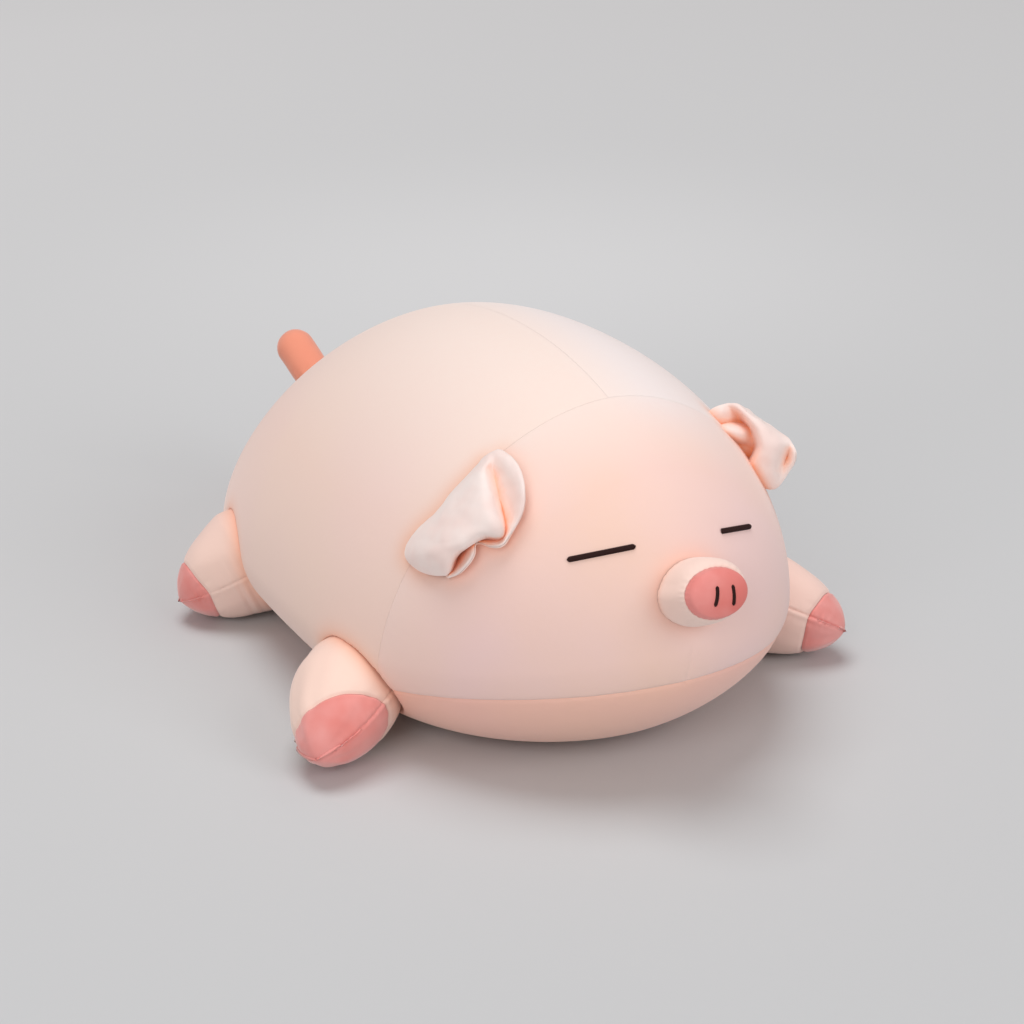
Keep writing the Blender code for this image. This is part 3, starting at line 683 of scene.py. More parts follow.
def finish_with(piece, kind, **settings):
    """Adds a modifier to a piece and applies it."""
    bpy.ops.object.select_all(action="DESELECT")
    bpy.context.view_layer.objects.active = piece
    piece.select_set(True)
    modifier = piece.modifiers.new(kind.lower(), kind)
    for name, value in settings.items():
        setattr(modifier, name, value)
    bpy.ops.object.modifier_apply(modifier=modifier.name)


def leg_patch(name, leg, part, half):
    """Half a sleeve or half a hoof as a sheet of cloth, whose sewn edges turn in."""
    rows, columns = (60, 84) if part == "sleeve" else (44, 84)
    low_angle = 0 if half == "upper" else -math.pi
    bm = bmesh.new()
    grid = []
    for row in range(rows + 1):
        share = row / rows
        line = []
        for column in range(columns + 1):
            angle = low_angle + math.pi * (0.5 - 0.5 * math.cos(math.pi * column / columns))
            seam_at = hoof_seam_at(leg, angle)
            if part == "sleeve":
                start = -LEG_RADIUS * 0.8
                along = start + (seam_at - 0.0001 - start) * math.sin(share * math.pi / 2)
            else:
                eased = 0.5 - 0.5 * math.cos(math.pi * share)
                along = seam_at + 0.0001 + (leg["length"] - seam_at - 0.0001) * eased
            point = leg_surface(leg, along, angle)
            if column in (0, columns):
                point += leg["up"] * (0.00002 if half == "upper" else -0.00002)
            line.append(bm.verts.new(point))
        grid.append(line)
    for lower, upper in zip(grid, grid[1:]):
        for column in range(columns):
            bm.faces.new((lower[column], lower[column + 1], upper[column + 1], upper[column]))
    if part == "hoof":
        bmesh.ops.remove_doubles(bm, verts=grid[-1], dist=0.0001)
    axis_middle = leg["middle"] + leg["along"] * 0.01
    bm.normal_update()
    facing = sum(face.normal.dot(face.calc_center_median() - axis_middle) for face in bm.faces)
    if facing < 0:
        bmesh.ops.reverse_faces(bm, faces=bm.faces)
    piece = sewn_piece(name, bm)
    finish_with(piece, "SOLIDIFY", thickness=LEG_CLOTH, offset=-1)
    return piece


leg_pieces = []
for leg_name, leg in LEGS.items():
    parts = []
    for half in ("upper", "lower"):
        sleeve = leg_patch(f"{leg_name}_sleeve_{half}_cloth", leg, "sleeve", half)
        sleeve.data.materials.append(sleeve_cloth)
        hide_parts(f"{leg_name}_leg_sleeve_{half}")
        hoof = leg_patch(f"{leg_name}_hoof_{half}_velvet", leg, "hoof", half)
        hoof.data.materials.append(rose_velvet)
        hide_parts(f"{leg_name}_hoof_{half}")
        parts += [sleeve, hoof]
    bpy.ops.object.select_all(action="DESELECT")
    bpy.ops.mesh.primitive_uv_sphere_add(segments=48, ring_count=40, radius=1)
    core = bpy.context.object
    core.name = f"{leg_name}_filling"
    core_inset = 0.0026
    for vert in core.data.vertices:
        reach = leg["length"] - core_inset - 0.001 if vert.co.z > 0 else LEG_RADIUS - core_inset
        angle = math.atan2(vert.co.y, vert.co.x)
        vert.co = leg_surface(leg, vert.co.z * reach, angle, core_inset)
    core.data.polygons.foreach_set("use_smooth", [True] * len(core.data.polygons))
    core.data.materials.append(white_fibre)
    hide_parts(f"{leg_name}_leg_stuffing")
    parts.append(core)
    for piece in parts:
        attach(piece, f"{leg_name}_leg")
    leg_pieces += parts

# Snout.
# A puffed ring of cover cloth stands out from the face, filled with fibre, and holds a domed
# disc of rose velvet. The nostrils are two upright bars of satin stitch.

SNOUT_HEIGHT = 0.1010
SNOUT_TILT = math.radians(22)
SNOUT_LENGTH = 0.0202
SNOUT_BULGE = 0.0177
SNOUT_UPPER_FULLNESS = 0.0022
SNOUT_DISC = 0.0157
SNOUT_DOME = 0.0056
SNOUT_OVAL = 0.83
SNOUT_FLATTENING = 0.093
snout_reach = BODY_FRONT * math.sqrt(1 - ((SNOUT_HEIGHT - FACE_HEIGHT) / CROWN_RISE) ** 2)
snout_middle = Vector((0.0007, -snout_reach, SNOUT_HEIGHT))
snout_ahead = Vector((0, -math.cos(SNOUT_TILT), math.sin(SNOUT_TILT)))
snout_across = Vector((0, 0, 1)).cross(snout_ahead).normalized()
snout_up = snout_ahead.cross(snout_across)


def on_snout(radius, angle, height):
    oval = SNOUT_OVAL - SNOUT_FLATTENING * min(max(height / SNOUT_LENGTH, 0), 1) ** 2
    return (snout_middle + snout_across * (radius * math.cos(angle))
            + snout_up * (radius * math.sin(angle) * oval) + snout_ahead * height)


def gusset_radius(height, angle):
    """Radius of the puffed ring, which is fuller and fullest further out at its upper left."""
    share = height / SNOUT_LENGTH
    upper = max(math.cos(angle - math.radians(60)), 0)
    fullest = 0.4 + 0.28 * upper
    widest = SNOUT_BULGE + SNOUT_UPPER_FULLNESS * upper - 0.0005 * max(-math.cos(angle), 0)
    if share <= fullest:
        bulge = 0.86 + 0.14 * math.sin(math.pi / 2 * max(share, -0.5) / fullest)
    else:
        bulge = max(1 - ((share - fullest) / (1 - fullest)) ** 2, 0) ** 0.5
    return SNOUT_DISC + (widest - SNOUT_DISC) * bulge


def base_height(angle, swell):
    """Height along the snout at which its wall comes out of the face at an angle."""
    low, high = -0.013, 0.012
    for _ in range(30):
        middle = (low + high) / 2
        if outside_body(on_snout(gusset_radius(middle, angle), angle, middle), swell) > 1:
            high = middle
        else:
            low = middle
    return high


def turned_skin(name, rings, close_tip):
    """A skin through rings of points, each ring from the base to the rim."""
    bm = bmesh.new()
    rows = [[bm.verts.new(point) for point in ring] for ring in rings]
    for lower, upper in zip(rows, rows[1:]):
        count = len(lower)
        for index in range(count):
            after = (index + 1) % count
            bm.faces.new((lower[index], lower[after], upper[after], upper[index]))
    if close_tip:
        bmesh.ops.remove_doubles(bm, verts=bm.verts, dist=0.00002)
    bmesh.ops.recalc_face_normals(bm, faces=bm.faces)
    return sewn_piece(name, bm)


SNOUT_SEGMENTS = 128
angles = [2 * math.pi * step / SNOUT_SEGMENTS for step in range(SNOUT_SEGMENTS)]
rings = []
bases = [base_height(angle, 0.0005) for angle in angles]
for step in range(37):
    share = step / 36
    ring = []
    for angle, base in zip(angles, bases):
        height = base + (SNOUT_LENGTH - base) * math.sin(share * math.pi / 2) ** 0.9
        radius = gusset_radius(height, angle)
        above = height - base
        below = SNOUT_LENGTH - height
        gather = 0.5 + 0.5 * math.sin(angle * 31 + 1.5 * math.sin(angle * 4))
        radius -= 0.0004 * math.exp(-(above / 0.0016) ** 2) * (0.7 + 0.6 * gather)
        radius -= 0.0004 * math.exp(-(below / 0.0030) ** 2) * gather
        radius += 0.0004 * noise.noise(
            Vector((math.cos(angle) * 2, math.sin(angle) * 2, height * 60)))
        ring.append(on_snout(radius, angle, height))
    rings.append(ring)
for inward, drop in ((0.0008, 0.0001), (0.0016, 0.0007), (0.0020, 0.0016)):
    rings.append([on_snout(SNOUT_DISC - inward, angle, SNOUT_LENGTH - drop) for angle in angles])
gusset = turned_skin("snout_ring_cloth", rings, False)
gusset.data.materials.append(peach_cream)
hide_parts("snout_gusset")

DISC_SEAT = SNOUT_LENGTH + 0.0001
rings = []
for step in range(41):
    swing = math.pi / 2 * (1 - step / 40)
    rim = SNOUT_DISC - 0.0001
    ring = []
    for angle in angles:
        gather = 0.5 + 0.5 * math.sin(angle * 34 + 1.2 * math.sin(angle * 5))
        edge = math.exp(-((1 - math.sin(swing)) / 0.05) ** 2)
        radius = rim * math.sin(swing) * (1 - 0.016 * gather * edge)
        height = DISC_SEAT + FABRIC * (1 - edge * 0.9) + SNOUT_DOME * math.cos(swing) ** 0.9
        ring.append(on_snout(radius, angle, height))
    rings.append(ring)
rings.insert(0, [on_snout(SNOUT_DISC - 0.0016, angle, DISC_SEAT + 0.0003) for angle in angles])
disc = turned_skin("snout_disc_velvet", rings, True)
disc_velvet = pile_cloth("deep_rose_velvet", (0.86, 0.31, 0.285), (0.79, 0.205, 0.18),
                         (0.62, 0.10, 0.06), pile=0.3, sheen=0.25, mottle=0.9, patch=55)
disc.data.materials.append(disc_velvet)
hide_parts("snout_disc")

rings = []
for step in range(21):
    share = step / 20
    ring = []
    for angle in angles[::4]:
        base = base_height(angle, 0.0012)
        height = base + (SNOUT_LENGTH - 0.0012 - base) * share
        ring.append(on_snout(gusset_radius(height, angle) - 0.0026, angle, height))
    rings.append(ring)
for step in range(1, 9):
    share = step / 8
    height = SNOUT_LENGTH - 0.0012 + 0.004 * math.sin(share * math.pi / 2)
    rings.append([on_snout((SNOUT_DISC - 0.0030) * (1 - share), angle, height)
                  for angle in angles[::4]])
for step in range(1, 9):
    share = step / 8
    ring = []
    for angle in angles[::4]:
        base = base_height(angle, 0.0012)
        radius = (gusset_radius(base, angle) - 0.0026) * (1 - share)
        low = base * (1 - share) + 0.0016 * share
        ring.append(on_snout(radius, angle, low))
    rings.insert(0, ring)
snout_core = turned_skin("snout_filling", rings, True)
snout_core.data.materials.append(white_fibre)
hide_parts("snout_stuffing")
for piece in (gusset, disc, snout_core):
    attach(piece, "body")

# Embroidery.
# Dark brown satin stitch: each bar is a row of rounded threads laid side by side across it,
# that dive into the cloth at both edges. Two bars make the closed eyes, two the nostrils.

thread = bpy.data.materials.new("dark_brown_thread")
thread.use_nodes = True
tree = thread.node_tree
shader = shader_of(thread)
set_inputs(shader, {"Roughness": 0.5, "Sheen Weight": 0, "Specular IOR Level": 0.2})
place = node_after(tree, "ShaderNodeTexCoord")
twist = node_after(tree, "ShaderNodeTexNoise", {"Scale": 1500})
tint = node_after(tree, "ShaderNodeMix", {"A": (0.018, 0.004, 0.003, 1),
                                          "B": (0.036, 0.010, 0.008, 1)}, data_type="RGBA")
join(place, "Object", twist, "Vector")
join(twist, "Fac", tint, "Factor")
join(tint, "Result", shader, "Base Color")
lift = node_after(tree, "ShaderNodeBump", {"Strength": 0.3, "Distance": 0.0001})
join(twist, "Fac", lift, "Height")
join(lift, "Normal", shader, "Normal")


def satin_bar(name, node, length, width, pitch, place_at):
    """A bar of side by side threads; place_at gives place, along and out at a share of it."""
    bpy.ops.object.select_all(action="DESELECT")
    bpy.ops.mesh.primitive_cylinder_add(vertices=8, radius=pitch * 0.62, depth=width,
                                        end_fill_type="TRIFAN")
    strand = bpy.context.object
    bpy.ops.object.mode_set(mode="EDIT")
    for cut in (-0.44, -0.34, -0.18, 0.0, 0.18, 0.34, 0.44):
        bpy.ops.mesh.select_all(action="SELECT")
        bpy.ops.mesh.bisect(plane_co=(0, 0, cut * width), plane_no=(0, 0, 1))
    bpy.ops.object.mode_set(mode="OBJECT")
    count = max(int(round(length / pitch)), 2)
    bar = bmesh.new()
    for step in range(count + 1):
        share = step / count
        centre, along, out = place_at(share)
        over = out.cross(along).normalized()
        ends = min(share, 1 - share) * length
        reach = math.sqrt(max(1 - max(1 - ends / (width * 0.5), 0) ** 2, 0.12))
        one = bmesh.new()
        one.from_mesh(strand.data)
        for vert in one.verts:
            cross = vert.co.z / (width / 2)
            arch = 0.00042 * (1 - abs(cross) ** 2.6) - 0.00030 * abs(cross) ** 6
            slack = 0.06 * noise.noise(Vector((step * 3.1, cross * 2, 4)))
            vert.co = (centre + over * (vert.co.z * reach) + along * (vert.co.x + slack * pitch)
                       + out * (vert.co.y * 0.8 + arch * reach))
        loose = bpy.data.meshes.new("strand_copy")
        one.to_mesh(loose)
        one.free()
        bar.from_mesh(loose)
        bpy.data.meshes.remove(loose)
    bmesh.ops.recalc_face_normals(bar, faces=bar.faces)
    piece = sewn_piece(name, bar)
    bpy.data.objects.remove(strand, do_unlink=True)
    piece.data.materials.append(thread)
    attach(piece, "body")
    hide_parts(node)
    return piece


eye_point = viewpoint.location.copy()
view_turn = viewpoint.rotation_euler.to_matrix()
FOCAL_PIXELS = 88.69 / 36 * 1024


def sight_line(px, py):
    """Direction from the camera through a pixel of the picture."""
    ray = view_turn @ Vector(((px - 512) / FOCAL_PIXELS, (512 - py) / FOCAL_PIXELS, -1))
    return ray.normalized()


def above_head(px, py, lift):
    """Point seen at a pixel, a lift in millimetres above the head's surface behind it."""
    ray = sight_line(px, py)
    low, high = 0.9, 1.5
    step = (high - low) / 150
    distance = low
    while distance < high and outside_body(eye_point + ray * distance) > 1:
        distance += step
    start = distance - step
    end = distance
    for _ in range(24):
        middle = (start + end) / 2
        if outside_body(eye_point + ray * middle) > 1:
            start = middle
        else:
            end = middle
    return eye_point + ray * (end - lift / 1000)


def face_at(px, py):
    """Place and outward direction of the face seen at a pixel."""
    here = above_head(px, py, 0)
    aside = above_head(px + 1, py, 0) - here
    below = above_head(px, py + 1, 0) - here
    return here, below.cross(aside).normalized()


EYES = {"right": (Vector((635.0, 546.4)), Vector((567.5, 559.9))),
        "left": (Vector((720.5, 531.5)), Vector((750.0, 526.4)))}
EYE_WIDTH = 0.0026
EYE_PITCH = 0.00036
NOSTRILS = {"right": {"across": -0.0037, "up": -0.0007, "lean": 0.0024, "bend": 0.0004,
                      "length": 0.0082},
            "left": {"across": 0.0049, "up": -0.0018, "lean": 0.0010, "bend": 0.0003,
                     "length": 0.0086}}
NOSTRIL_WIDTH = 0.0017
NOSTRIL_PITCH = 0.00034


def on_eye(side_name, share):
    """Place, along and out of the bar of a closed eye at a share of its length."""
    inner_end, outer_end = EYES[side_name]
    place, out = face_at(*inner_end.lerp(outer_end, share))
    ahead, _ = face_at(*inner_end.lerp(outer_end, share + 0.02))
    return place + out * 0.0005, (ahead - place).normalized(), out


def on_disc(shape, share):
    """Point of the snout's dome under a nostril at a share of its length."""
    across = (shape["across"] + shape["lean"] * (share - 0.5)
              + shape["bend"] * math.sin(share * math.pi))
    up = shape["up"] + (share - 0.5) * shape["length"]
    radius = math.hypot(across, up / SNOUT_OVAL)
    lean = math.acos(min(radius / (SNOUT_DISC - 0.0004), 1))
    dome = DISC_SEAT + FABRIC + SNOUT_DOME * math.sin(lean) ** 0.9
    return snout_middle + snout_across * across + snout_up * up + snout_ahead * dome


def on_nostril(shape, share):
    """Place, along and out of the bar of a nostril at a share of its length."""
    place = on_disc(shape, share)
    along = (on_disc(shape, share + 0.05) - place).normalized()
    out = (snout_ahead - along * snout_ahead.dot(along)).normalized()
    return place + out * 0.0002, along, out


for side_name, shape in NOSTRILS.items():
    eye_length = (on_eye(side_name, 1)[0] - on_eye(side_name, 0)[0]).length
    satin_bar(f"eye_{side_name}_stitches", f"eye_{side_name}", eye_length, EYE_WIDTH, EYE_PITCH,
              partial(on_eye, side_name))
    satin_bar(f"nostril_{side_name}_stitches", f"nostril_{side_name}", shape["length"],
              NOSTRIL_WIDTH, NOSTRIL_PITCH, partial(on_nostril, shape))

# Ears.
# Each is a flap of two layers of pale pink velvet, sewn into the head seam along one edge. The
# flap has dropped forward and creased, and its corner has rolled under.

pale_velvet = pile_cloth("pale_pink_velvet", (0.970, 0.860, 0.820), (0.96, 0.76, 0.71),
                         (0.97, 0.34, 0.11), pile=0.3, sheen=0.8, mottle=0.8, patch=60)


def at_depth(px, py, depth):
    """Point seen at a pixel, a depth in millimetres nearer than the ear's root."""
    ray = sight_line(px, py)
    towards = -(view_turn @ Vector((0, 0, -1)))
    root = Vector((0.0773, -0.0736, 0.1295))
    distance = ((root + towards * depth / 1000) - eye_point).dot(towards) / ray.dot(towards)
    return eye_point + ray * distance


EAR_RIM = 0.0018
EAR_CLOTH = 0.0010


def ear_layers(side_name, side, net, place):
    """Outer and inner layer of an ear from a net of places, smoothed and given their cloth."""
    pieces = []
    for layer, lift, outwards, node in (("outer", 0.0001, 1, f"ear_{side_name}_outer"),
                                        ("inner", -0.0001, -1, f"ear_{side_name}_inner")):
        bm = bmesh.new()
        rows = [[bm.verts.new(place(*spot)) for spot in row] for row in net]
        for upper, lower in zip(rows, rows[1:]):
            for index in range(len(upper) - 1):
                bm.faces.new((upper[index], upper[index + 1], lower[index + 1], lower[index]))
        bm.normal_update()
        total = sum((face.normal * face.calc_area() for face in bm.faces), Vector((0, 0, 0)))
        if total.dot(eye_point - bm.faces[:][0].calc_center_median()) < 0:
            bmesh.ops.reverse_faces(bm, faces=bm.faces)
        name = f"ear_{side_name}_{layer}_velvet"
        piece = sewn_piece(name, bm)
        finish_with(piece, "SUBSURF", levels=3, render_levels=3)
        bm = bmesh.new()
        bm.from_mesh(piece.data)
        rim = [vert.co.copy() for vert in bm.verts if vert.is_boundary]
        bm.free()
        rim_tree = KDTree(len(rim))
        for index, spot in enumerate(rim):
            rim_tree.insert(spot, index)
        rim_tree.balance()
        fullness = piece.vertex_groups.new(name="fullness")
        for vert in piece.data.vertices:
            share = min(rim_tree.find(vert.co)[2] / EAR_RIM, 1)
            fullness.add([vert.index], 0.15 + 0.85 * math.sqrt(1 - (1 - share) ** 2), "REPLACE")
        places = []
        for vert in piece.data.vertices:
            ripple = 0.0008 * noise.noise(vert.co * 75) + 0.0003 * noise.noise(vert.co * 210)
            places.append(vert.co + vert.normal * (lift + ripple))
        for vert, spot in zip(piece.data.vertices, places):
            vert.co = spot
        finish_with(piece, "SOLIDIFY", thickness=EAR_CLOTH, offset=outwards,
                    vertex_group="fullness")
        for polygon in piece.data.polygons:
            polygon.use_smooth = True
        piece.data.materials.append(pale_velvet)
        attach(piece, f"{side_name}_ear")
        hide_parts(node)
        pieces.append(piece)
    return pieces


# Each row of the net runs from the free border, under the crease, to the sewn root.
right_net = [
    [(499, 451, 3), (497, 451, 4), (495, 452, 5), (493, 452, 5), (491, 453, 5),
     (489, 454, 5), (488, 455, 5), (486, 456, 4), (484, 458, 3), (483, 460, 0)],
    [(513, 457, 7), (508, 458, 8), (503, 459, 8), (499, 460, 7), (495, 461, 7),
     (491, 462, 8), (487, 463, 8), (483, 465, 7), (479, 467, 5), (476, 469, 0)],
    [(521, 468, 9), (515, 469, 9), (509, 470, 8), (500, 471, 5), (492, 470, 3),
     (482, 468, 10), (482, 471, 11), (477, 472, 9), (473, 474, 6), (470, 476, 0)],
    [(525, 483, 10), (519, 484, 9), (512, 485, 6), (502, 486, 4), (495, 486, 1),
     (487, 482, 12), (482, 482, 13), (473, 482, 11), (465, 483, 7), (460, 486, 0)],
    [(526, 498, 9), (520, 499, 8), (514, 500, 5), (504, 501, 3), (498, 501, 0),
     (491, 497, 14), (482, 496, 15), (468, 495, 12), (456, 496, 8), (449, 499, 0)],
    [(523, 513, 8), (518, 514, 7), (513, 514, 4), (506, 515, 2), (502, 515, 0),
     (496, 513, 14), (482, 508, 16), (462, 507, 13), (447, 508, 9), (439, 511, 0)],
    [(516, 527, 6), (513, 528, 6), (510, 528, 4), (507, 528, 2), (504, 528, 0),
     (500, 525, 14), (481, 518, 16), (458, 516, 14), (440, 517, 9), (430, 520, 0)],
    [(508, 541, 5), (507, 541, 4), (507, 540, 3), (507, 539, 2), (505, 538, 0),
     (501, 532, 13), (479, 524, 16), (455, 523, 14), (434, 524, 9), (422, 527, 0)],
    [(502, 546, 7), (501, 545, 5), (500, 542, 1), (499, 540, -1), (498, 538, -2),
     (496, 534, 13), (475, 529, 16), (451, 529, 14), (429, 530, 9), (417, 532, 0)],
    [(493, 547, 7), (492, 545, 5), (491, 542, 0), (490, 540, -2), (490, 538, -2),
     (489, 533, 13), (471, 533, 16), (447, 534, 14), (425, 535, 9), (413, 537, 0)],
    [(485, 544, 4), (485, 542, 2), (485, 540, 0), (484, 539, -2), (483, 538, -2),
     (482, 536, 13), (466, 537, 16), (443, 540, 14), (421, 540, 8), (410, 541, 0)],
    [(477, 541, 2), (476, 540, 0), (476, 539, -1), (475, 539, -2), (474, 540, -2),
     (475, 542, 13), (461, 541, 16), (439, 545, 13), (418, 545, 8), (407, 545, 0)],
    [(474, 545, 8), (472, 545, 5), (470, 545, 2), (468, 545, 0), (466, 544, 0),
     (468, 546, 13), (455, 545, 16), (434, 550, 13), (415, 549, 7), (406, 549, 0)],
    [(475, 552, 9), (471, 552, 6), (467, 552, 2), (463, 551, 0), (460, 550, 0),
     (461, 549, 13), (448, 551, 15), (430, 555, 12), (413, 553, 6), (405, 553, 0)],
    [(471, 561, 9), (467, 560, 6), (463, 559, 2), (459, 557, -1), (456, 556, -1),
     (455, 554, 13), (444, 558, 14), (429, 560, 10), (414, 558, 5), (406, 557, 0)],
    [(464, 570, 8), (461, 568, 6), (459, 566, 3), (457, 564, 0), (455, 562, 0),
     (452, 562, 12), (442, 566, 12), (429, 566, 9), (417, 563, 4), (409, 562, 0)],
    [(456, 576, 6), (455, 574, 6), (455, 572, 4), (454, 570, 2), (453, 569, 2),
     (450, 571, 9), (440, 573, 8), (429, 571, 6), (420, 568, 3), (414, 566, 0)],
    [(447, 579, 3), (447, 578, 4), (447, 577, 5), (447, 576, 5), (446, 576, 5),
     (444, 576, 6), (438, 576, 4), (431, 574, 3), (425, 572, 2), (420, 571, 0)],
]
ear_pieces = ear_layers("right", -1, right_net, above_head)

# The left ear is seen from behind its fold: each row runs from the root, under the crest,
# out to the curled end.
left_net = [
    [(704, 416, 2), (708, 411, 3), (713, 408, 4), (720, 405, 5), (727, 403, 5),
     (733, 403, 6), (740, 405, 5), (745, 408, 3), (747, 409, 1), (749, 411, 0)],
    [(707, 421, 2), (713, 416, 5), (720, 412, 7), (727, 410, 6), (735, 410, 2),
     (740, 408, 8), (747, 413, 9), (753, 418, 7), (756, 420, 4), (759, 422, 3)],
    [(711, 427, 1), (717, 423, 4), (725, 419, 5), (732, 418, 2), (742, 419, -2),
     (746, 416, 11), (756, 420, 12), (764, 426, 10), (769, 428, 6), (773, 429, 4)],
    [(713, 431, 1), (719, 427, 2), (727, 424, 1), (737, 424, -2), (750, 426, -4),
     (752, 423, 13), (761, 427, 13), (770, 433, 11), (776, 434, 7), (780, 434, 4)],
    [(714, 432, 1), (720, 429, 10), (728, 427, 11), (738, 428, 10), (753, 431, 0),
     (756, 429, 13), (764, 432, 13), (773, 438, 12), (781, 439, 8), (786, 438, 4)],
    [(717, 439, 1), (722, 435, 9), (731, 435, 11), (741, 438, 10), (757, 440, -1),
     (759, 437, 14), (768, 441, 14), (778, 446, 13), (786, 445, 8), (793, 443, 6)],
    [(719, 442, 0), (725, 438, 1), (733, 438, 1), (743, 442, 0), (758, 446, -4),
     (760, 444, 14), (770, 449, 14), (780, 453, 13), (788, 454, 1), (795, 449, 11)],
    [(730, 457, -1), (735, 450, 0), (740, 451, 0), (748, 454, -1), (756, 453, -4),
     (757, 452, 13), (768, 458, 13), (776, 462, 12), (786, 459, -1), (796, 457, 11)],
    [(738, 468, -1), (741, 462, -1), (743, 461, -1), (746, 462, -3), (751, 461, -4),
     (750, 460, 10), (762, 468, 11), (773, 470, 10), (782, 467, 2), (793, 467, 8)],
    [(746, 478, -2), (745, 472, -2), (746, 470, -2), (746, 469, -3), (749, 468, -4),
     (746, 467, 7), (759, 475, 9), (771, 478, 8), (780, 475, 4), (788, 474, 4)],
    [(753, 486, -3), (751, 481, -3), (751, 479, -3), (751, 478, -4), (751, 477, -4),
     (748, 475, 5), (760, 482, 6), (770, 484, 5), (776, 483, 4), (782, 482, 3)],
    [(762, 492, -4), (759, 489, -4), (758, 487, -4), (757, 486, -4), (757, 484, -4),
     (753, 480, 3), (762, 486, 3), (768, 489, 2), (772, 489, 2), (775, 488, 1)],
]
ear_pieces += ear_layers("left", 1, left_net, at_depth)

# Tail.
# A stuffed stub of coral cloth with a round end, sewn to the rump by its narrower root.

coral = pile_cloth("coral_cloth", (0.90, 0.35, 0.23), (0.87, 0.31, 0.21), (0.72, 0.14, 0.06),
                   pile=0.3, sheen=0.5, mottle=0.5, patch=40)
TAIL_RADIUS = 0.0110
TAIL_LENGTH = 0.0570
rump = Vector((0, BODY_REAR + 0.04, 0.0640))
while outside_body(rump) > 1:
    rump.y -= 0.00005
beside = rump + Vector((0, 0, 0.001))
while outside_body(beside) < 1:
    beside.y += 0.00002
while outside_body(beside) > 1:
    beside.y -= 0.00002
slope = (beside - rump).normalized()
tail_middle = rump + Vector((0, slope.z, -slope.y)) * 0.0065
tail_along = Vector((-math.cos(math.radians(33)) * math.sin(math.radians(11)),
                     math.cos(math.radians(33)) * math.cos(math.radians(11)),
                     math.sin(math.radians(33))))
tail_across = Vector((0, 0, 1)).cross(tail_along).normalized()
tail_up = tail_along.cross(tail_across)
for name, node, inset, cloth, slot in (("tail_cloth", "tail_cover", 0, coral, "tail"),
                                       ("tail_filling", "tail_stuffing", 0.0024, white_fibre,
                                        "stuffing")):
    rings = []
    for step in range(61):
        share = step / 60
        root_end = -(TAIL_RADIUS - inset) if inset else -TAIL_RADIUS * 0.6
        tip_end = TAIL_LENGTH - inset
        along = root_end + (tip_end - root_end) * (0.5 - 0.5 * math.cos(math.pi * share))
        radius = TAIL_RADIUS - inset
        if along < 0:
            radius = math.sqrt(max(radius ** 2 - along ** 2, 0))
        elif along > TAIL_LENGTH - TAIL_RADIUS:
            over = along - (TAIL_LENGTH - TAIL_RADIUS)
            radius = math.sqrt(max(radius ** 2 - over ** 2, 0))
        neck = math.exp(-((along - 0.016) / 0.010) ** 2)
        ring = []
        for angle in [2 * math.pi * index / 72 for index in range(72)]:
            gather = 0.5 + 0.5 * math.sin(angle * 9 + math.sin(angle * 2))
            skin = radius - 0.0009 * neck - 0.0006 * neck * gather
            under = math.exp(-((angle - 1.5 * math.pi) * radius / 0.0009) ** 2)
            skin -= 0.0007 * under * (inset == 0)
            skin += 0.0004 * noise.noise(Vector((math.cos(angle), math.sin(angle), along * 50)))
            out = tail_across * math.cos(angle) + tail_up * math.sin(angle)
            ring.append(tail_middle + tail_along * along + out * max(skin, 0))
        rings.append(ring)
    piece = turned_skin(name, rings, True)
    piece.data.materials.append(cloth)
    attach(piece, "tail")
    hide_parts(node)

# Shade of the folds.
# Where two pale cloths lie close together the light goes to and fro between them and turns warm;
# this warm shade is painted into their colour, by how deep each place lies between its neighbours.


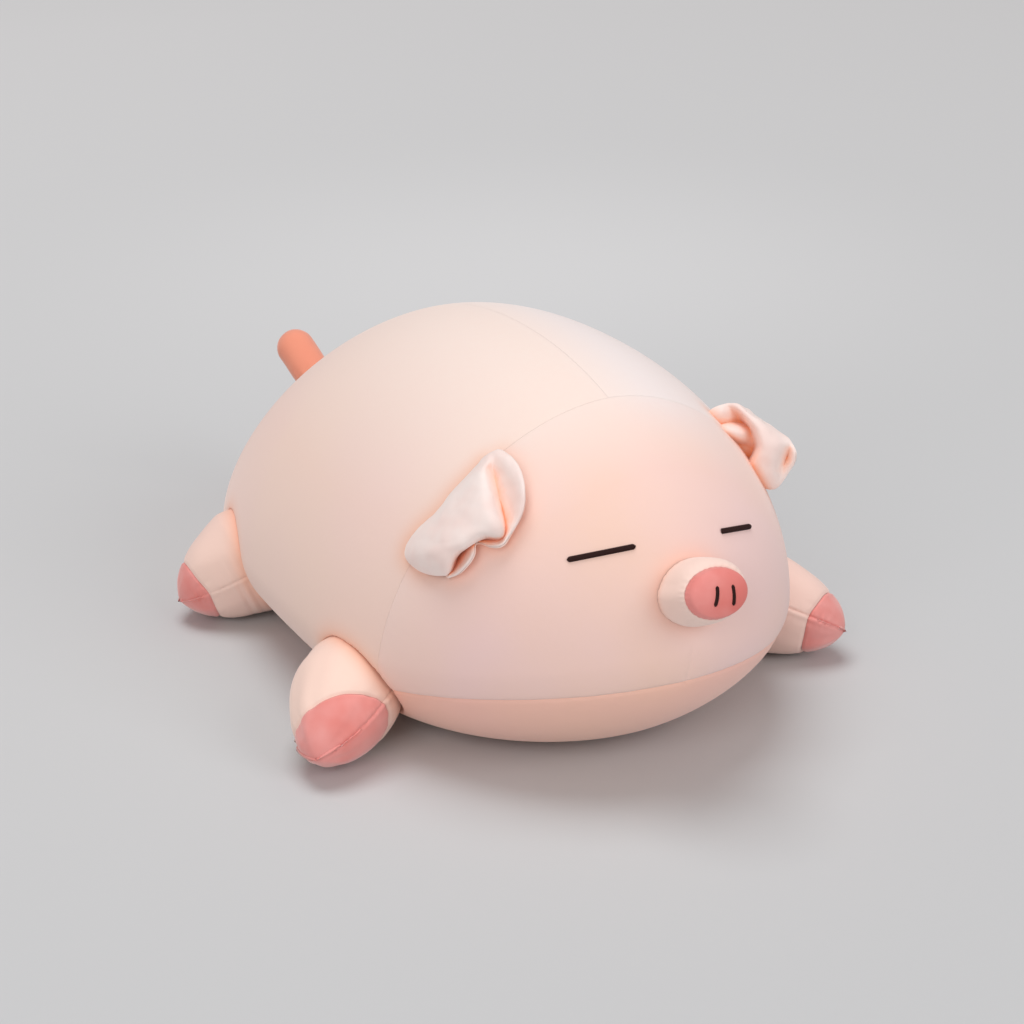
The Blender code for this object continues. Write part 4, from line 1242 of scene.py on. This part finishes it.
def shade_near(pieces, neighbours, reach):
    """The shade of places that lie within a reach of their neighbours, by each one's strength."""
    trees = [(BVHTree.FromObject(other, bpy.context.evaluated_depsgraph_get()), strength)
             for other, strength in neighbours]
    for piece in pieces:
        depth = piece.data.attributes.new("painted_fold_shade", "FLOAT", "POINT")
        for vert in piece.data.vertices:
            gaps = [(tree.find_nearest(vert.co, reach)[3], strength) for tree, strength in trees]
            depth.data[vert.index].value = max([strength * (1 - gap / reach) ** 2
                                                for gap, strength in gaps if gap is not None],
                                               default=0)


def shade_inside(pieces, walls, reach, strength):
    """The shade of places from which the walls of a fold are seen all round within a reach."""
    trees = [BVHTree.FromObject(other, bpy.context.evaluated_depsgraph_get()) for other in walls]
    golden = math.pi * (3 - math.sqrt(5))
    looks = []
    for step in range(10):
        rise = (step + 0.5) / 10
        flat = math.sqrt(1 - rise * rise)
        swing = step * golden
        looks.append(Vector((flat * math.cos(swing), flat * math.sin(swing), rise)))
    for piece in pieces:
        depth = piece.data.attributes.new("painted_fold_shade", "FLOAT", "POINT")
        for vert in piece.data.vertices:
            turn = vert.normal.to_track_quat("Z", "X")
            start = vert.co + vert.normal * 0.0004
            shut = 0
            for look in looks:
                gap = min([hit[3] for hit in (tree.ray_cast(start, turn @ look, reach)
                                              for tree in trees) if hit[3] is not None],
                          default=reach)
                shut += 1 - gap / reach
            depth.data[vert.index].value = min(strength * (shut / len(looks)) ** 1.5, 0.9)


leg_skins = [piece for piece in leg_pieces if not piece.name.endswith("filling")]
shade_near(leg_skins, [(cover, 0.62) for cover in cover_pieces], 0.011)
ear_skins = [piece for piece in ear_pieces if "outer" in piece.name]
shade_near(cover_pieces, [*[(skin, 0.42) for skin in leg_skins],
                          *[(skin, 0.50) for skin in ear_skins], (gusset, 0.26)], 0.012)
shade_near([gusset], [(cover_pieces[0], 0.45)], 0.006)
for outer, back in ((ear_skins[0], cover_pieces[1]), (ear_skins[1], cover_pieces[2])):
    shade_inside([outer], [outer, cover_pieces[0], back], 0.016, 1.35)
shade_near([piece for piece in ear_pieces if "inner" in piece.name],
           [(cover, 0.6) for cover in cover_pieces], 0.012)
